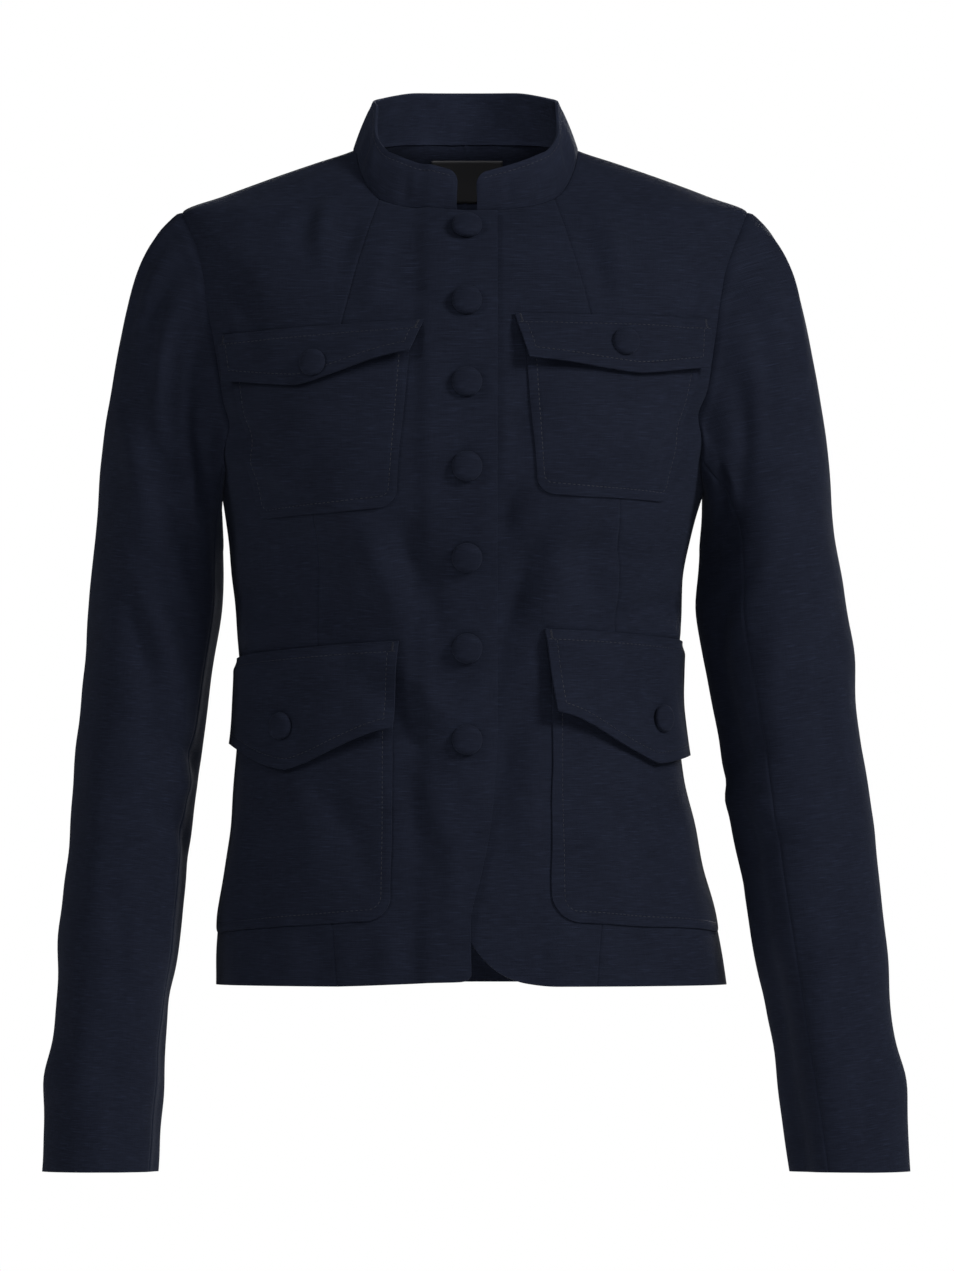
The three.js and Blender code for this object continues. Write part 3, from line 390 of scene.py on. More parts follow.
BODY_ROWS = np.concatenate([[0, 0.0012], np.linspace(0.004, 1, ROWS * ROW_FINE)])
SEAM_STEPS = [0, 0.007, 0.016, 0.03]


def chart(start, end, low, high, columns):
    """A panel in turn and height between four edges: arrays of rows up and columns across."""
    across, along = spaced(columns, SEAM_STEPS), BODY_ROWS
    s, e = (np.array([f(v) for v in along]) for f in (start, end))
    b, t = (np.array([f(u) for u in across]) for f in (low, high))
    u, v = across[None, :, None], along[:, None, None]
    corners = mix(mix(b[0], b[-1], u), mix(t[0], t[-1], u), v)
    grid = mix(s[:, None], e[:, None], u) + mix(b[None], t[None], v) - corners
    return grid[..., 0], grid[..., 1]


def front_centre(side):
    def edge(v):
        z = row_level(ROW_LEVELS[side], v)
        return on_side(side, -track(FRONT_EDGE[side], z, "x"), z)

    def corner(u):
        return on_side(side, -track(CORNER[side], u, "x"), track(CORNER[side], u, "z"))

    def neck(u):
        x = mix(-EDGE_PAST_CENTRE, 58, u)
        return on_side(side, x, FRONT_NECK_Z if x < 0 else track(FRONT_NECK, x, "z", "x"))

    return chart(
        edge,
        lambda v: princess_edge(row_level(ROW_LEVELS["princess"], v), side),
        corner,
        neck,
        CENTRE_COLUMNS,
    )


def front_side(side):
    hem_from = princess_edge(HEM_Z, side)[0]
    return chart(
        lambda v: princess_edge(row_level(ROW_LEVELS["princess"], v), side),
        lambda v: outer_edge(v, "frontShare", 1),
        lambda u: (mix(hem_from, 90, u), HEM_Z),
        lambda u: neck_edge(mix(PRINCESS_ALONG, 1, u), side),
        SIDE_COLUMNS,
    )


def back_half():
    return chart(
        lambda v: outer_edge(v, "backShare", -1),
        lambda v: (180.0, row_level(ROW_LEVELS["back"], v)),
        lambda u: (mix(90, 180, u), HEM_Z),
        lambda u: (mix(90, 180, u), back_neck(u)),
        BACK_COLUMNS,
    )


# Meshes


def new_mesh(name, points, faces, uv=None, material=None):
    mesh = bpy.data.meshes.new(name)
    mesh.from_pydata((np.asarray(points) * METRE).tolist(), [], faces)
    if uv is not None:
        layer = mesh.uv_layers.new(name="cloth")
        loops = np.empty(len(mesh.loops), int)
        mesh.loops.foreach_get("vertex_index", loops)
        layer.data.foreach_set("uv", (np.asarray(uv) * METRE)[loops].astype(np.float32).ravel())
    mesh.polygons.foreach_set("use_smooth", np.ones(len(mesh.polygons), bool))
    if material:
        mesh.materials.append(material)
    made = bpy.data.objects.new(name, mesh)
    bpy.context.scene.collection.objects.link(made)
    return made


def wall_mesh(name, outer, inner, uv, material, flip, bevel):
    """One closed wall of cloth from the grids of its outer and inner faces."""
    rows, columns = outer.shape[:2]
    points = np.concatenate([outer.reshape(-1, 3), inner.reshape(-1, 3)])
    uvs = np.concatenate([uv.reshape(-1, 2)] * 2)
    index = np.arange(2 * rows * columns).reshape(2, rows, columns)
    o, n = index

    def quads(*corners):
        return np.stack([corner.ravel() for corner in corners], axis=1)

    faces = np.concatenate([
        quads(o[:-1, :-1], o[:-1, 1:], o[1:, 1:], o[1:, :-1]),
        quads(n[:-1, :-1], n[1:, :-1], n[1:, 1:], n[:-1, 1:]),
        quads(o[:-1, 0], o[1:, 0], n[1:, 0], n[:-1, 0]),
        quads(o[:-1, -1], n[:-1, -1], n[1:, -1], o[1:, -1]),
        quads(o[0, :-1], n[0, :-1], n[0, 1:], o[0, 1:]),
        quads(o[-1, :-1], o[-1, 1:], n[-1, 1:], n[-1, :-1]),
    ])
    if flip:
        faces = faces[:, ::-1]
    made = new_mesh(name, points, faces.tolist(), uvs, material)
    if bevel:
        soft = made.modifiers.new("soft edges", "BEVEL")
        soft.width = bevel * METRE
        soft.segments = 2
        soft.limit_method = "ANGLE"
        soft.angle_limit = math.radians(55)
    return made


def cut_size(grid):
    """The widest row, the longest column and the area of a grid of points, in metres."""
    across = np.linalg.norm(np.diff(grid, axis=1), axis=-1)
    along = np.linalg.norm(np.diff(grid, axis=0), axis=-1)
    area = np.linalg.norm(np.cross(grid[1:, 1:] - grid[:-1, :-1], grid[1:, :-1] - grid[:-1, 1:]), axis=-1) / 2
    return (
        float(across.sum(axis=1).max()) * METRE,
        float(along.sum(axis=0).max()) * METRE,
        float(area.sum()) * METRE**2,
    )


def declare(piece, node, grid=None):
    """The piece stands for its node and rides on the one body; for cloth, its cut's size is worked out but not
    used.
    """
    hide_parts(node)
    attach(piece, "root")
    if grid is not None:
        width, length, area = cut_size(grid)
        area = min(area, 0.999 * width * length)
    return piece


def cloth_piece(node, outer, inner, uv, flip, bevel=0.5):
    return declare(wall_mesh("cloth_" + node, outer, inner, uv, CLOTH, flip, bevel), node, grid=outer)


SEAM_REACH, SEAM_DEPTH = 0.9, 0.55


def seam_roll(grid, edges):
    """How far the cloth rolls in at its seams, from the distance to each edge in mm."""
    across = arc_length(grid, axis=1)
    roll = np.zeros(across.shape)
    if "start" in edges:
        roll += np.exp(-((across / SEAM_REACH) ** 2))
    if "end" in edges:
        roll += np.exp(-(((across[:, -1:] - across) / SEAM_REACH) ** 2))
    return -SEAM_DEPTH * roll


# Arc length round a middle section, so that the weave runs level and at one scale from panel to panel.
GIRTH_TURN = np.linspace(0, 180, 361)
GIRTH_HALF, GIRTH_DEPTH = 155, 105
GIRTH_ANGLE = np.radians(GIRTH_TURN)
GIRTH = arc_length(np.stack([GIRTH_HALF * np.sin(GIRTH_ANGLE), GIRTH_DEPTH * np.cos(GIRTH_ANGLE)], axis=-1))


def body_uv(turn, z):
    return np.stack([np.sign(turn) * np.interp(np.abs(turn), GIRTH_TURN, GIRTH), z + 0 * turn], axis=-1)


# Near its top edge a panel's wall is level across, so that the collar sits on it without a slit.
LEVEL_REACH = 4


def body_panel(node, panel_chart, side, edges, lifted=False):
    turn, z = panel_chart
    turn = side * turn
    plain = body_base(turn, z)
    lift = seam_roll(plain, edges)
    if lifted:
        lift = lift + overlap_lift(plain[..., 0], side)
    outer = body_place(turn, z, lift)
    normal = body_normal(turn, z)
    from_top = np.linalg.norm(outer - outer[-1:], axis=-1)
    normal[..., 2] *= 1 - np.exp(-((from_top / LEVEL_REACH) ** 2))
    inner = outer - unit(normal) * WALL
    return cloth_piece(node, outer, inner, body_uv(turn, z), flip=side < 0)


# Sleeves


def sleeve_angle(step, seams):
    """Degrees round the sleeve from its outer side, by steps round the armhole from the shoulder tip."""
    count = 2 * ARM_ROWS
    stops = [-count, -seams["backStep"], 0, seams["frontStep"], count - seams["backStep"], count]
    angles = [-360, -seams["back"], 0, seams["front"], 360 - seams["back"], 360]
    return np.interp(step, stops, angles)


MM_PER_DEGREE = 0.78
SLEEVE_RADIUS = 47


def sleeve_relief(side, angle, z):
    """The sleeve's folds at degrees round and a height, the degrees taken as mm round its middle."""
    middle, reach, depth = SLEEVE_HOLLOW[side]
    total = depth * np.exp(-(((angle % 360 - middle) / reach) ** 2)) * ease(-z, 215, 300)
    for f in SLEEVE_FOLDS[SLEEVE_FOLDS["arm"] != -side]:
        across = ((angle - f["round"] + 180) % 360 - 180) * MM_PER_DEGREE
        total = total + fold(f, across, z)
    return total


def sleeve_point(sections, side, angle, z):
    """A point of a sleeve below the biceps."""
    tilt = math.atan2(abs(sections["x"][-1] - sections["x"][0]), sections["z"][0] - CUFF_Z)
    cos, sin = np.cos(np.radians(angle)), np.sin(np.radians(angle))

    def at(bulge):
        out = (track(sections, z, "half") + bulge) * cos
        forward = (track(sections, z, "depth") + bulge) * sin
        level = np.maximum(z, CUFF_Z) + out * math.sin(tilt) * ease(z, CUFF_Z, CUFF_Z + 60)
        x = track(sections, z, "x") + side * out * math.cos(tilt)
        return np.stack([x, track(sections, z, "y") - forward, level], axis=-1)

    return at(sleeve_relief(side, angle, z) + ripple(at(0)))


def armhole_spot(step):
    """Turn and height on the armhole, and which way lies the panel that ends there."""
    if step <= ARM_ROWS:
        turn, z = outer_edge((SIDE_ROWS + ARM_ROWS - step) / ROWS, "frontShare", 1)
        return turn, z, -1
    turn, z = outer_edge((SIDE_ROWS + step - ARM_ROWS) / ROWS, "backShare", -1)
    return turn, z, 1


# The sleeve starts a little under the body's edge. PULL_POWER keeps the fullness near the shoulder tip.
UNDER_EDGE, TUCK = -0.4, 0.8
PULL_POWER = 1.3


def sleeve_surface(side, sections, seams, steps, far):
    """Points of the sleeve: rows from the armhole (far 0) to the biceps (1) and the cuff (2)."""
    count = 2 * ARM_ROWS
    steps = np.asarray(steps, float)
    angle = sleeve_angle(steps, seams)
    top = sections["z"][0]
    axis = unit(np.array([sections["x"][2] - sections["x"][0], 0, sections["z"][2] - top]))
    spots = np.array([armhole_spot(step % count)[:2] for step in steps])
    point = body_place(side * spots[:, 0], spots[:, 1], UNDER_EDGE)
    fall = (1 + np.cos(np.radians(angle))) / 2
    high = (1 + np.cos(np.pi * steps / ARM_ROWS)) / 2
    drop = np.radians(CAP["topDrop"] + CAP["sideDrop"] * 2 * (1 - high))
    pull = mix(CAP["underPull"], CAP["topPull"], high**PULL_POWER)[:, None]
    leave = np.stack([side * np.cos(drop), 0 * drop, -np.sin(drop)], axis=-1)
    start = point - leave * TUCK
    to = sleeve_point(sections, side, angle, top + 0 * angle)
    arrive = axis * mix(CAP["endUnder"], CAP["endTop"], fall)[:, None]
    t = far[far <= 1][:, None, None]
    cap = (
        start * (1 - 3 * t**2 + 2 * t**3)
        + leave * pull * (t - 2 * t**2 + t**3)
        + to * (3 * t**2 - 2 * t**3)
        + arrive * (t**3 - t**2)
    )
    below = far[far > 1][:, None]
    level = mix(top, CUFF_Z, below - 1) + 0 * angle
    rest = sleeve_point(sections, side, angle + 0 * below, level)
    return np.concatenate([cap, rest])


SLEEVE_FAR = np.concatenate(
    [[0, 0.002, 0.005, 0.01, 0.018], np.linspace(0.03, 1, CAP_RINGS), np.linspace(1, 2, FOREARM_RINGS + 1)[1:]]
)


# The armhole seam: how deep and wide the cloth rolls in, and the soft ridge of the seam's turnings below it.
ARMHOLE_ROLL, ARMHOLE_REACH = 0.5, 0.8
RIDGE, RIDGE_AT, RIDGE_REACH = 0.9, 5, 3.5
# The head's creases wander by some degrees, and are deepest a little below their place in the table.
CAP_WANDER, CAP_BELOW, CAP_REACH = 14, 0.12, 0.26
CAP_RIPPLE = 0.8


def sleeve_piece(node, side, hand, first, last, columns):
    sections, seams = SLEEVES[hand], SLEEVE_SEAMS[hand]
    steps = mix(first, last, spaced(columns, [0, 0.006, 0.013, 0.025]))
    grid = sleeve_surface(side, sections, seams, steps, SLEEVE_FAR)
    ahead = sleeve_surface(side, sections, seams, steps + 0.05, SLEEVE_FAR)
    behind = sleeve_surface(side, sections, seams, steps - 0.05, SLEEVE_FAR)
    down = np.gradient(grid, axis=0)
    normal = unit(np.cross(ahead - behind, down) * side)
    for j, step in enumerate(steps):
        turn, z, towards = armhole_spot(step % (2 * ARM_ROWS))
        out = unit(body_place(side * turn, z) - body_place(side * (turn + 2 * towards), z))
        normal[0, j] = unit(normal[0, j] - out * max(0, normal[0, j] @ out))
    angle = sleeve_angle(steps, seams)
    from_armhole = arc_length(grid)
    far = SLEEVE_FAR[:, None]
    relief = seam_roll(grid, ["start", "end"]) - ARMHOLE_ROLL * np.exp(-((from_armhole / ARMHOLE_REACH) ** 2))
    relief = relief + RIDGE * np.exp(-(((from_armhole - RIDGE_AT) / RIDGE_REACH) ** 2)) * (far < 1)
    wrapped = (angle + 180) % 360 - 180
    for f in CAP_FOLDS:
        bow = wrapped - f["round"] + CAP_WANDER * np.sin(6 * far)
        down_by = (far - f["far"] - CAP_BELOW) / CAP_REACH
        place = np.exp(-((bow / f["wide"]) ** 2)) * np.exp(-(down_by**2))
        relief = relief + f["depth"] * place * (far < 1) * ease(from_armhole, 0, 8)
    relief = relief + ripple(grid) * np.where(far < 1, 4 * far * (1 - far), 0) * CAP_RIPPLE
    carried = sleeve_relief(side, angle, sections["z"][0] + 0 * angle) * (3 * far**2 - 2 * far**3)
    local = sleeve_relief(side, angle[None, :] + 0 * from_armhole, grid[..., 2]) * ease(from_armhole, 4, 34)
    relief = relief + np.where(far < 1, local - carried, 0)
    outer = grid + normal * relief[..., None]
    inner = outer - normal * WALL
    biceps = int(np.argmax(SLEEVE_FAR >= 1))
    v = sections["z"][0] + from_armhole[biceps] - from_armhole
    uv = np.stack([np.broadcast_to(SLEEVE_RADIUS * np.radians(angle), v.shape), v], axis=-1)
    return cloth_piece(node, outer, inner, uv, flip=side < 0)


# Collar


def neck_stops(side):
    """The neck seam on one side, from the collar's front end to the centre back: turn, height and place."""
    stops = []
    near = COLLAR_CORNER * (1 - np.cos(np.linspace(0, np.pi / 2, 12)))
    for x in np.concatenate([COLLAR_END_X + near, np.linspace(COLLAR_END_X + COLLAR_CORNER, 58, 26)[1:]]):
        turn, z = on_side(side, x, track(FRONT_NECK, x, "z", "x"))
        stops.append((turn, z, 90 * track(FRONT_NECK, x, "along", "x")))
    for u in np.linspace(0, 1, 24)[1:]:
        turn, z = neck_edge(mix(PRINCESS_ALONG, 1, u), side)
        stops.append((turn, z, mix(90 * PRINCESS_ALONG, 90, u)))
    for u in np.linspace(0, 1, 44)[1:]:
        stops.append((mix(90, 180, u), back_neck(u), mix(90, 180, u)))
    return np.array(stops)


COLLAR_ROWS = 20
# The collar's topstitch lies below its edge and is pressed in; its middle bulges and its foot rolls in.
COLLAR_STITCH, COLLAR_PRESS, COLLAR_PRESS_REACH = 4, 0.3, 1.2
COLLAR_BULGE, COLLAR_ROLL, COLLAR_ROLL_REACH = 0.8, 0.4, 0.8
COLLAR_SINK = 0.3
# Soft upright creases of the collar: the side, the place round the neck, depth and reach.
COLLAR_CREASES = (
    (-1, 76, -2.5, 4), (-1, 62, 1.3, 6), (-1, 34, -1.1, 3), (-1, 27, 0.8, 3), (-1, 128, -1.3, 5),
    (-1, 158, 0.9, 6), (1, 70, -2.3, 4), (1, 82, 1.5, 4), (1, 52, 0.9, 4), (1, 40, -1.1, 3), (1, 22, -0.8, 3),
    (1, 140, -1.3, 6), (-1, 172, -0.8, 4), (1, 162, 0.9, 5),
)


def collar_piece():
    sides = []
    for side in (-1, 1):
        turn, z, place = neck_stops(side).T
        point = body_base(side * turn, z)
        lift = np.where(place < 90, overlap_lift(point[:, 0], side), 0) - COLLAR_SINK
        crease = 0 * place
        for on, at, depth, wide in COLLAR_CREASES:
            crease = crease + (on == side) * depth * np.exp(-(((place - at) / wide) ** 2))
        base = body_place(side * turn, z, lift)
        sides.append((base, place, crease))
    right, left = sides
    base, place, crease = (np.concatenate([a, b[:-1][::-1]]) for a, b in zip(right, left))
    share = np.linspace(0, 1, COLLAR_ROWS + 1)[:, None]
    inward = unit(-base * np.array([1, 1, 0]))
    from_end = np.minimum(np.abs(np.abs(base[:, 0]) - COLLAR_END_X), COLLAR_CORNER)
    rounded = np.sqrt(np.maximum(COLLAR_CORNER**2 - (COLLAR_CORNER - from_end) ** 2, 0))
    rise = track(COLLAR, place, "rise") - np.where(place < 90, COLLAR_CORNER - rounded, 0)
    lean = track(COLLAR, place, "lean")
    height = share * rise
    from_top = rise - height
    bulge = COLLAR_BULGE * np.sin(np.pi * share) + crease * np.sin(np.pi * np.minimum(1, share * 1.15))
    bulge = bulge - COLLAR_PRESS * np.exp(-(((from_top - COLLAR_STITCH) / COLLAR_PRESS_REACH) ** 2))
    bulge = bulge - COLLAR_ROLL * np.exp(-((height / COLLAR_ROLL_REACH) ** 2))
    outer = base[None] + inward[None] * (lean * share - bulge)[..., None]
    outer[..., 2] += height - 0.12 * np.exp(-height)
    around = np.gradient(outer, axis=1)
    normal = unit(np.cross(np.gradient(outer, axis=0), around))
    inner = outer - normal * WALL
    seam = arc_length(base)
    uv = np.stack([np.broadcast_to(seam, height.shape), height + 20], axis=-1)
    cloth_piece("collar", outer, inner, uv, flip=True)
    return outer, normal


# Pockets and flaps


def per_degree(turn, z):
    """How many mm of cloth one degree of turn is at a place."""
    return np.linalg.norm(body_base(turn + 0.5, z) - body_base(turn - 0.5, z), axis=-1)


def edge_shares(width, close, step):
    """Shares across a patch: set distances from both edges in mm, then an even spread."""
    close = np.array(close) / width
    count = max(2, round((1 - 2 * close[-1]) * width / step))
    return np.concatenate([close[:-1], np.linspace(close[-1], 1 - close[-1], count), 1 - close[:-1][::-1]])


def pocket_at(pocket, side, u, v):
    bottom, top = mix(*pocket["bottom"], u), mix(*pocket["top"], u)
    high = mix(bottom, top, v)
    inner = np.abs(turn_at(side * mix(*pocket["inner"], v), high))
    turn = mix(inner, pocket["outerTurn"], u)
    scale = per_degree(side * turn, high)
    from_side = np.minimum(u, 1 - u) * (pocket["outerTurn"] - inner) * scale
    corner = pocket["corner"]
    into = np.maximum(0, corner - from_side)
    cut = corner - np.sqrt(np.maximum(corner**2 - into**2, 0))
    z = mix(bottom + cut, top, v)
    from_bottom = z - bottom
    to_edge = np.minimum(from_side, from_bottom)
    in_corner = (from_side < corner) & (from_bottom < corner)
    rounded = corner - np.hypot(corner - from_side, corner - from_bottom)
    return turn, z, np.where(in_corner, rounded, to_edge), top - z


# The topstitch's distance from the edge, its height over the cloth and the width it presses in.
STITCH_IN, THREAD_ABOVE, PRESS_REACH = 6.5, 0.08, 1.1
POCKET_THICK, FLAP_THICK = 1.2, 1.7
# The patches' weave is a little out of step with the front's.
POCKET_WEAVE, FLAP_WEAVE = (3.1, 1.7), (7.3, 4.9)


def pocket_stand(to_edge, from_top):
    """How far a pocket's back lies off the front: sewn flat round its edge, a little full inside."""
    puff = 0.15 + 0.25 * ease(to_edge, 0, 3) + 1.1 * ease(to_edge, STITCH_IN, 30) * ease(from_top, 0, 30)
    return puff - 0.28 * np.exp(-(((to_edge - STITCH_IN) / PRESS_REACH) ** 2)) * ease(to_edge, 0, 2)


def pocket_piece(name, side):
    pocket = POCKETS[name]
    wide, tall = (120, 115) if name.startswith("chest") else (150, 185)
    u = edge_shares(wide, [0, 0.1, 0.4, 1, 2, 3.5, 5, 6, 6.5, 7, 8, 10, 12, 14], 2.2)[None, :]
    v = edge_shares(tall, [0, 0.6, 1.5, 3, 5, 6, 6.5, 7, 8, 10], 2.4)[:, None]
    turn, z, to_edge, from_top = pocket_at(pocket, side, u, v)
    stand = pocket_stand(to_edge, from_top)
    outer = body_place(side * turn, z, stand + POCKET_THICK)
    inner = body_place(side * turn, z, stand)
    uv = body_uv(side * turn, z) + POCKET_WEAVE
    return cloth_piece("pocket_" + name, outer, inner, uv, flip=side < 0)


def flap_low(flap, u):
    before = u < flap["tipShare"]
    reach = np.where(before, u / flap["tipShare"], (1 - u) / (1 - flap["tipShare"]))
    side_z = np.where(before, flap["side"][0], flap["side"][1])
    return mix(side_z, flap["tip"], (ease(reach, 0, 1) + reach) / 2)


def flap_inner(flap, side, v, z):
    return np.abs(turn_at(side * (flap["inner"] + flap["flare"] * (1 - v)), z))


def flap_at(flap, side, u, v):
    low, top = flap_low(flap, u), mix(*flap["top"], u)
    z = mix(low, top, v)
    turn = mix(flap_inner(flap, side, v, z), flap["outerTurn"], u)
    return turn, z


# How far a flap's back lies off the front: at its seam, over its pocket and by its slight waviness.
FLAP_SEAM, FLAP_OVER_POCKET, FLAP_WAVE = 0.4, 2.7, 0.5


def flap_stand(flap, side, u, v):
    turn, z = flap_at(flap, side, u, v)
    from_top = mix(*flap["top"], u) - z
    from_low = z - flap_low(flap, u)
    width = (flap["outerTurn"] - flap_inner(flap, side, v, z)) * per_degree(side * turn, z)
    base = FLAP_SEAM + FLAP_OVER_POCKET * ease(from_top, 1, 9)
    free = flap["stand"] * (1 - v) ** 1.6 * mix(1, 0.45, ease(u, 0, 0.45))
    wave = FLAP_WAVE * np.sin(2.2 * math.pi * u + 1 + side) * (1 - v)
    inside = np.minimum(np.minimum(u, 1 - u) * width, np.minimum(from_top, from_low))
    press = -0.3 * np.exp(-(((inside - STITCH_IN) / PRESS_REACH) ** 2))
    return base + free + wave + press


def flap_surface(flap, side, u, v, above=0.0):
    turn, z = flap_at(flap, side, u, v)
    return body_place(side * turn, z, flap_stand(flap, side, u, v) + above)


def flap_piece(name, side):
    flap = FLAPS[name]
    wide, tall = (125, 38) if name.startswith("chest") else (160, 75)
    near = [0, 0.5, 1.5, 3, 5, 6, 6.5, 7, 8, 10]
    u, v = edge_shares(wide, near, 1.9)[None, :], edge_shares(tall, near, 1.7)[:, None]
    outer = flap_surface(flap, side, u, v, FLAP_THICK)
    inner = flap_surface(flap, side, u, v)
    turn, z = flap_at(flap, side, u, v)
    uv = body_uv(side * turn, z) + FLAP_WEAVE
    return cloth_piece("flap_" + name, outer, inner, uv, flip=side < 0, bevel=0.6)


# Stitches


STITCH_LENGTH, STITCH_PITCH, STITCH_RADIUS, STITCH_SIDES = 2.2, 3.3, 0.18, 5
STITCH_RINGS = ((-0.5, 0.35), (-0.42, 0.85), (-0.2, 1), (0.2, 1), (0.42, 0.85), (0.5, 0.35))
STITCH_SINK = 0.16


def capsule_mesh(name, places):
    """Short stitches: each place is a point, the direction of the seam and the cloth's outward direction."""
    points, faces, sides = [], [], STITCH_SIDES
    for point, tangent, normal, size in places:
        tangent = unit(tangent)
        normal = unit(normal - tangent * (normal @ tangent))
        across = np.cross(tangent, normal)
        start = len(points)
        for along, thick in STITCH_RINGS:
            centre = point + tangent * along * STITCH_LENGTH * size - normal * STITCH_SINK * (2 * along) ** 2
            for k in range(sides):
                angle = 2 * math.pi * k / sides
                spoke = across * math.cos(angle) + normal * math.sin(angle)
                points.append(centre + STITCH_RADIUS * thick * spoke)
        for first in range(start, len(points) - sides, sides):
            for k in range(sides):
                a, b = first + k, first + (k + 1) % sides
                faces.append((a, b, b + sides, a + sides))
        faces.append(tuple(range(start + sides - 1, start - 1, -1)))
        faces.append(tuple(range(len(points) - sides, len(points))))
    made = new_mesh(name, np.array(points), faces, None, THREAD)
    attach(made, "root")
    return made


def along_path(path, normals):
    """Stitch places at an even pitch on a path of points."""
    lengths = arc_length(path)
    count = max(1, int(lengths[-1] // STITCH_PITCH))
    where = (np.arange(count) + 0.5) * lengths[-1] / count
    reach = 0.6

    def read(column_set, at):
        return np.stack([np.interp(at, lengths, column_set[:, k]) for k in range(3)], axis=-1)

    ahead, behind = read(path, where + reach), read(path, where - reach)
    return [(p, f - b, n, 1.0) for p, f, b, n in zip(read(path, where), ahead, behind, read(normals, where))]


def collar_stitches(face, out):
    """Topstitch below the collar's upper edge, apart from its first and last columns."""
    ends = 9
    columns = np.arange(ends, face.shape[1] - ends)
    height = face[-1, columns, 2] - face[0, columns, 2]
    row = (1 - COLLAR_STITCH / height) * COLLAR_ROWS
    below = np.floor(row).astype(int)
    path = mix(face[below, columns], face[below + 1, columns], (row - below)[:, None])
    return along_path(path + out[below, columns] * THREAD_ABOVE, out[below, columns])


def pocket_stitches(name, side):
    """Topstitch down the inner side, round the corners and up the outer side."""
    pocket = POCKETS[name]
    corner, outer = pocket["corner"], pocket["outerTurn"]
    low_inner, low_outer = pocket["bottom"]
    below_top, reach = 14, corner - STITCH_IN

    def spot(u, z, inset=corner):
        bottom, top = mix(*pocket["bottom"], u), mix(*pocket["top"], u)
        inner = abs(turn_at(side * mix(*pocket["inner"], (z - bottom) / (top - bottom)), z))
        first = inner + inset / per_degree(side * inner, z)
        last = outer - inset / per_degree(side * outer, z)
        return mix(first, last, u), z

    def bend(u, low, angle):
        return spot(u, low + corner - reach * np.sin(angle), corner - reach * np.cos(angle))

    angles = np.linspace(0, np.pi / 2, 10)
    spots = [spot(0, z, STITCH_IN) for z in np.linspace(pocket["top"][0] - below_top, low_inner + corner, 60)]
    spots += [bend(0, low_inner, angle) for angle in angles[1:]]
    spots += [spot(u, mix(low_inner, low_outer, u) + STITCH_IN) for u in np.linspace(0, 1, 60)[1:-1]]
    spots += [bend(1, low_outer, angle) for angle in angles[:0:-1]]
    spots += [spot(1, z, STITCH_IN) for z in np.linspace(low_outer + corner, pocket["top"][1] - below_top, 60)]
    turn, z = np.array(spots).T
    stand = pocket_stand(STITCH_IN + 0 * turn, 60 + 0 * turn)
    path = body_place(side * turn, z, stand + POCKET_THICK + THREAD_ABOVE)
    return along_path(path, body_normal(side * turn, z))


def flap_stitches(name, side):
    """Topstitch along the top, both ends and the pointed lower edge, and a short bar at each upper corner."""
    flap = FLAPS[name]

    def share_in(v, u_edge):
        turn, z = flap_at(flap, side, u_edge, v)
        return STITCH_IN / (flap["outerTurn"] - flap_inner(flap, side, v, z)) / per_degree(side * turn, z)

    def share_down(u):
        return STITCH_IN / (mix(*flap["top"], u) - flap_low(flap, u))

    left, right = share_in(0.9, 0.0), 1 - share_in(0.9, 1.0)
    upper = [(u, 1 - share_down(u)) for u in np.linspace(0.004, 0.996, 80)]
    rest = [(1 - share_in(v, 1.0), v) for v in np.linspace(1 - share_down(1.0), share_down(1.0) * 1.2, 30)]
    rest += [(u, share_down(u) * 1.1) for u in np.linspace(right, left, 90)]
    rest += [(share_in(v, 0.0), v) for v in np.linspace(share_down(0.0) * 1.2, 1 - share_down(0.0), 30)]
    places = []
    for line in (upper, rest):
        u, v = np.array(line).T
        turn, z = flap_at(flap, side, u, v)
        places += along_path(flap_surface(flap, side, u, v, FLAP_THICK + 0.1), body_normal(side * turn, z))
    for u_bar in (left * 0.55, 1 - (1 - right) * 0.55):
        for k in range(9):
            v = 1 - share_down(u_bar) * (0.12 + 0.1 * k)
            turn, z = flap_at(flap, side, u_bar, v)
            here, beside = (
                flap_surface(flap, side, u, v, FLAP_THICK + 0.12) for u in (u_bar, u_bar + 0.004)
            )
            places.append((here, beside - here, body_normal(side * turn, z), 0.8))
    return places


# Buttons and label


BUTTON_SIDES, DOME_STEPS = 56, 12


def button_mesh(name, node, size, seat, normal):
    """A covered button: cloth drawn over a dome, its edge turned in below."""
    radius, dome, rim, sides = size["radius"], size["dome"], size["rim"], BUTTON_SIDES
    profile = [(radius * 0.72, 0), (radius * 0.93, 0.4)]
    for a in (0.6, 1.2, 1.8):
        profile.append((radius * (0.965 + 0.035 * math.sin(a)), rim * (0.55 - 0.4 * math.cos(a))))
    for k in range(DOME_STEPS):
        a = math.pi / 2 * k / DOME_STEPS
        profile.append((radius * 0.985 * math.cos(a) ** 0.74, rim + (dome - rim) * math.sin(a) ** 1.05))
    normal = unit(normal)
    across = unit(np.cross([0, 0, 1.0], normal))
    up = np.cross(normal, across)
    points, uv, faces = [seat], [(0, 0)], []
    for r, h in profile:
        for k in range(sides):
            a = 2 * math.pi * k / sides
            r_here = r * (1 + 0.004 * math.sin(3 * a + radius))
            x, y = math.cos(a) * r_here, math.sin(a) * r_here
            points.append(seat + across * x + up * y + normal * h)
            uv.append((x, y))
    points.append(seat + normal * dome)
    uv.append((0, 0))
    last = len(points) - 1 - sides
    for k in range(sides):
        n = (k + 1) % sides
        faces.append((0, 1 + n, 1 + k))
        for a in range(1, last, sides):
            faces.append((a + k, a + n, a + sides + n, a + sides + k))
        faces.append((last + k, last + n, len(points) - 1))
    piece = new_mesh(name, np.array(points), faces, np.array(uv), BUTTON_CLOTH)
    return declare(piece, node)


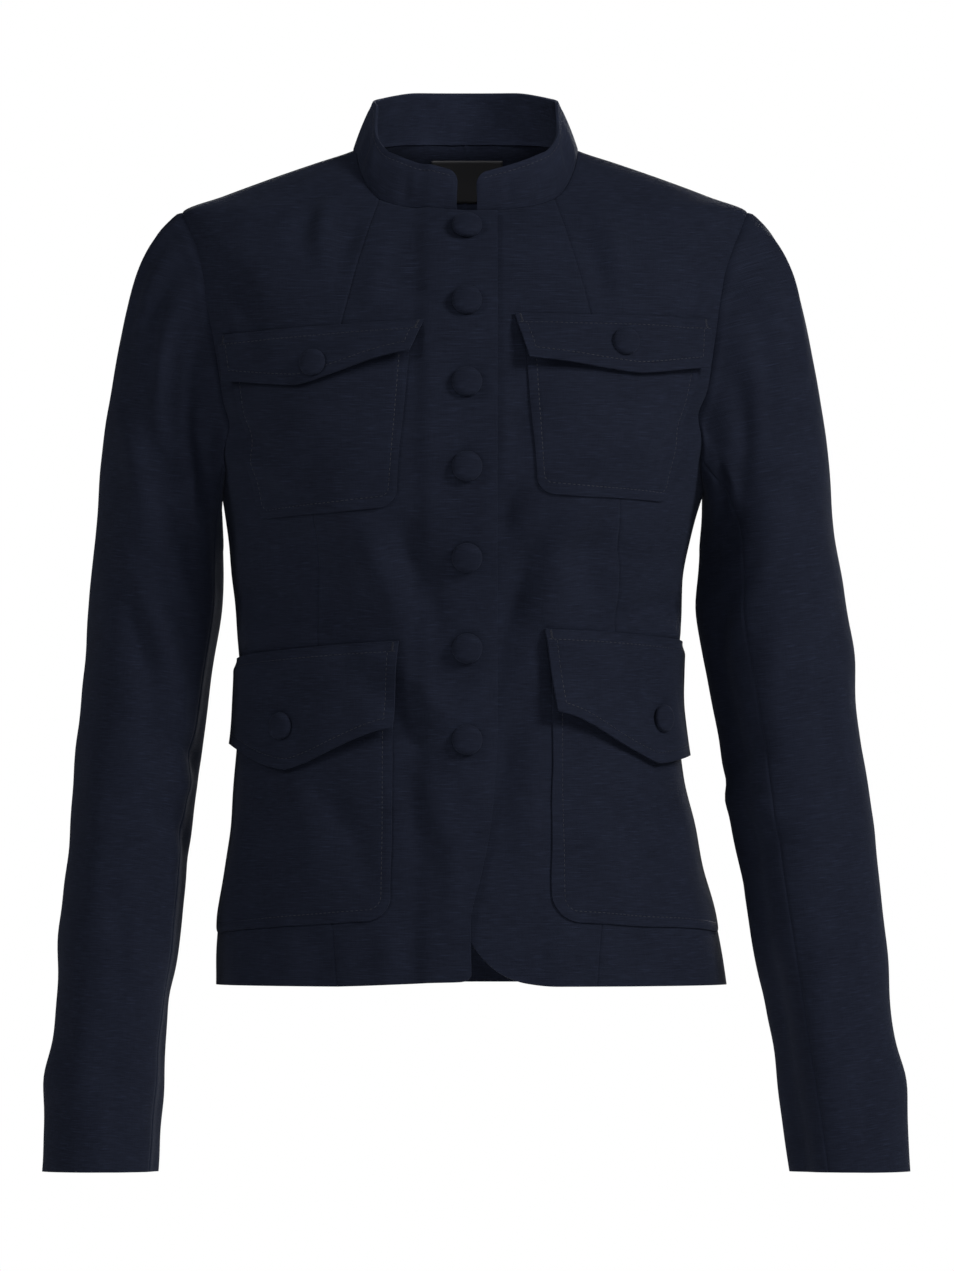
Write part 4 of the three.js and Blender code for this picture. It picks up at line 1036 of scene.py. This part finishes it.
def front_button(number, z):
    turn = turn_at(0, z)
    normal = body_normal(turn, z)
    seat = body_place(turn, z, OVERLAP_LIFT + FRONT_SEAT)
    tilt = np.array([0.03 * math.sin(number * 2.1), 0, 0.05 * math.cos(number * 1.7)])
    name = "button_front_%d" % number
    button_mesh("covered_" + name, name, FRONT_BUTTON, seat, normal + tilt)


def pocket_button(name, side):
    flap = FLAPS[name]
    x, z = flap["button"]
    turn = abs(turn_at(side * x, z))
    across, up = 0.5, 0.5
    for _ in range(6):
        inner = flap_inner(flap, side, up, z)
        across = (turn - inner) / (flap["outerTurn"] - inner)
        low = flap_low(flap, across)
        up = (z - low) / (mix(*flap["top"], across) - low)

    def face(u, v):
        return flap_surface(flap, side, u, v, FLAP_THICK)

    along = face(across + 0.06, up) - face(across - 0.06, up)
    rise = face(across, up + 0.1) - face(across, up - 0.1)
    normal = unit(np.cross(along, rise) * side)
    seat = face(across, up) + normal * POCKET_SEAT
    tilt = np.array([flap["droop"], 0, -0.08])
    button_mesh("covered_button_" + name, "button_" + name, POCKET_BUTTON, seat, normal + tilt)


LABEL_WIDE, LABEL_LOW, LABEL_HIGH, LABEL_THICK = 48, -34, -6, 0.5


def label_piece():
    """The bare tape label inside the back neck."""
    z = np.linspace(LABEL_LOW, LABEL_HIGH, 18)[:, None]
    share = np.linspace(-0.5, 0.5, 33)[None, :]
    turn = 180 - turn_at(share * LABEL_WIDE, z)
    rise = (z - LABEL_LOW) / (LABEL_HIGH - LABEL_LOW)
    above = -(WALL + 0.25 + 0.25 * np.sin(np.pi * rise) * (1 - (2 * share) ** 2))
    outer = body_base(turn, z) + body_normal(turn, z) * (above + 0 * turn)[..., None]
    inner = outer - body_normal(turn, z) * LABEL_THICK
    uv = np.stack([share * LABEL_WIDE + 0 * z, z + 0 * share], axis=-1)
    piece = wall_mesh("label_tape", outer, inner, uv, LABEL_CLOTH, flip=True, bevel=0)
    return declare(piece, "neck_label", grid=outer)


# Materials


def fill(tree, node, values):
    """Sets a node's sockets to values, or joins them to other nodes' outputs."""
    for socket, value in values.items():
        if isinstance(value, bpy.types.NodeSocket):
            tree.links.new(value, node.inputs[socket])
        else:
            node.inputs[socket].default_value = value


YARNS = 571


def cloth_material(name, dark, light, bump):
    """Dark slub cloth: fine plain weave, thicker yarns here and there that run mostly across the body."""
    made = bpy.data.materials.new(name)
    made.use_nodes = True
    tree = made.node_tree

    def add(kind, output, values, **settings):
        node = tree.nodes.new("ShaderNode" + kind)
        for setting, value in settings.items():
            setattr(node, setting, value)
        fill(tree, node, values)
        return node.outputs[output]

    uv = add("UVMap", "UV", {}, uv_map="cloth")

    def noise(x, y, detail, rough):
        place = add("Mapping", "Vector", {"Vector": uv, "Scale": (x, y, 1)})
        return add("TexNoise", "Fac", {"Vector": place, "Scale": 1, "Detail": detail, "Roughness": rough})

    def wave(direction):
        sockets = {"Vector": uv, "Scale": YARNS, "Distortion": 0}
        return add("TexWave", "Fac", sockets, wave_type="BANDS", bands_direction=direction)

    def combine(a, b, weight_a, weight_b):
        first = add("Math", 0, {0: a, 1: weight_a}, operation="MULTIPLY")
        return add("Math", 0, {0: b, 1: weight_b, 2: first}, operation="MULTIPLY_ADD")

    def levels(value, low, high, top):
        return add("MapRange", "Result", {"Value": value, "From Min": low, "From Max": high, "To Max": top})

    def blend(share, a, b):
        return add("Mix", "Result", {"Factor": share, "A": a, "B": b}, data_type="RGBA")

    across = combine(noise(55, 1500, 2, 0.65), noise(140, 3200, 1, 0.5), 0.6, 0.4)
    streaks = combine(across, noise(2600, 70, 2, 0.6), 0.78, 0.22)
    patches = combine(streaks, noise(28, 36, 2, 0.5), 0.86, 0.14)
    colour = blend(levels(patches, 0.36, 0.64, 1), (*dark, 1), (*light, 1))
    slubs = levels(noise(85, 1250, 1, 0.5), 0.58, 0.76, 0.5)
    height = combine(streaks, combine(wave("X"), wave("Y"), 0.5, 0.5), 1.0, 0.3)
    fill(tree, tree.nodes["Principled BSDF"], {
        "Base Color": blend(slubs, colour, (*(1.7 * v for v in light), 1)),
        "Normal": add("Bump", "Normal", {"Strength": bump, "Distance": 0.0004, "Height": height}),
        "Roughness": 0.86,
        "Specular IOR Level": 0.12,
        "Sheen Weight": 0.035,
        "Sheen Roughness": 0.5,
        "Sheen Tint": (0.5, 0.6, 0.9, 1),
    })
    return made


def plain_material(name, colour, roughness):
    made = bpy.data.materials.new(name)
    made.use_nodes = True
    shader = made.node_tree.nodes["Principled BSDF"]
    fill(made.node_tree, shader, {"Base Color": (*colour, 1), "Roughness": roughness})
    return made


CLOTH = cloth_material("navy slub cloth", (0.0027, 0.0040, 0.0102), (0.0093, 0.0124, 0.0250), 0.5)
BUTTON_CLOTH = cloth_material("navy cloth on buttons", (0.0027, 0.0040, 0.0102), (0.0090, 0.0119, 0.0240), 0.3)
THREAD = plain_material("navy thread", (0.0080, 0.0102, 0.0198), 0.5)
LABEL_CLOTH = plain_material("dark tape", (0.006, 0.006, 0.008), 0.7)


# The jacket

for side, hand in ((-1, "right"), (1, "left")):
    body_panel("front_centre_" + hand, front_centre(side), side, ["end"], lifted=True)
    body_panel("front_side_" + hand, front_side(side), side, ["start", "end"])
    body_panel("back_" + hand, back_half(), side, ["start", "end"])
    front_step, back_step = SLEEVE_SEAMS[hand]["frontStep"], SLEEVE_SEAMS[hand]["backStep"]
    sleeve_piece("sleeve_upper_" + hand, side, hand, -back_step, front_step, UPPER_SLEEVE_COLUMNS)
    rest = 2 * ARM_ROWS - back_step
    sleeve_piece("sleeve_under_" + hand, side, hand, front_step, rest, UNDER_SLEEVE_COLUMNS)
    for level in ("chest", "lower"):
        name = level + "_" + hand
        pocket_piece(name, side)
        flap_piece(name, side)
        pocket_button(name, side)
        capsule_mesh("stitches_pocket_" + name, pocket_stitches(name, side))
        capsule_mesh("stitches_flap_" + name, flap_stitches(name, side))

capsule_mesh("stitches_collar", collar_stitches(*collar_piece()))
for number, z in enumerate(FRONT_BUTTON_Z, 1):
    front_button(number, z)
label_piece()


# Floor, light and camera


def place_light(light, place, target):
    made = bpy.data.objects.new(light.name, light)
    made.location = place
    made.rotation_euler = (Vector(target) - Vector(place)).to_track_quat("-Z", "Y").to_euler()
    bpy.context.scene.collection.objects.link(made)


def emitter(name, place, target, size, watts):
    light = bpy.data.lights.new(name, "AREA")
    light.shape = "RECTANGLE"
    light.size, light.size_y = size
    light.energy = watts
    place_light(light, place, target)


def studio_world():
    """White to the camera, like the photograph's background, and a softer white as light on the cloth."""
    world = bpy.data.worlds.new("studio")
    world.use_nodes = True
    tree, white = world.node_tree, (1, 1, 1, 1)
    paper, soft = tree.nodes["Background"], tree.nodes.new("ShaderNodeBackground")
    path, choice = tree.nodes.new("ShaderNodeLightPath"), tree.nodes.new("ShaderNodeMixShader")
    fill(tree, paper, {"Color": white, "Strength": 1})
    fill(tree, soft, {"Color": white, "Strength": 0.05})
    fill(tree, choice, {"Fac": path.outputs["Is Camera Ray"], 1: soft.outputs[0], 2: paper.outputs[0]})
    fill(tree, tree.nodes["World Output"], {"Surface": choice.outputs[0]})
    bpy.context.scene.world = world


FLOOR_HALF, FLOOR_Z = 8, -1.35
floor = [(x * FLOOR_HALF, y * FLOOR_HALF, FLOOR_Z) for x, y in ((-1, -1), (1, -1), (1, 1), (-1, 1))]
paper_white = plain_material("pale paper", (0.92, 0.92, 0.92), 0.9)
new_mesh("floor", np.array(floor) / METRE, [(0, 1, 2, 3)], None, paper_white)

emitter("key right", (2.9, -1.9, 1.7), (0, 0, -0.3), (0.9, 1.3), 120)
emitter("key left", (-2.9, -1.9, 1.5), (0, 0, -0.3), (0.9, 1.3), 38)
emitter("front", (0.4, -4.6, 2.6), (0, 0, -0.3), (1.6, 1.2), 40)
emitter("back", (0.7, 3.0, 0.9), (0, 0, -0.3), (2.0, 1.2), 55)
emitter("low front", (0.3, -3.2, -1.15), (0, 0, -0.45), (1.2, 0.3), 7)
# A narrow light into the neck opening.
snoot = bpy.data.lights.new("neck", "SPOT")
snoot.energy = 115
snoot.spot_size = math.radians(5.4)
snoot.spot_blend = 0.7
snoot.shadow_soft_size = 0.03
place_light(snoot, (0, -1.44, 1.34), (0.004, 0.045, 0.008))
studio_world()

camera_data = bpy.data.cameras.new("photo view")
camera_data.lens = 598.6
camera_data.sensor_width = 36
camera_data.clip_end = 60
camera = bpy.data.objects.new("photo view", camera_data)
camera.location = (0.0066, -14.0, -0.323)
camera.rotation_euler = (math.pi / 2, 0, 0)
bpy.context.scene.collection.objects.link(camera)
bpy.context.scene.camera = camera

bpy.context.scene.view_settings.view_transform = "Standard"
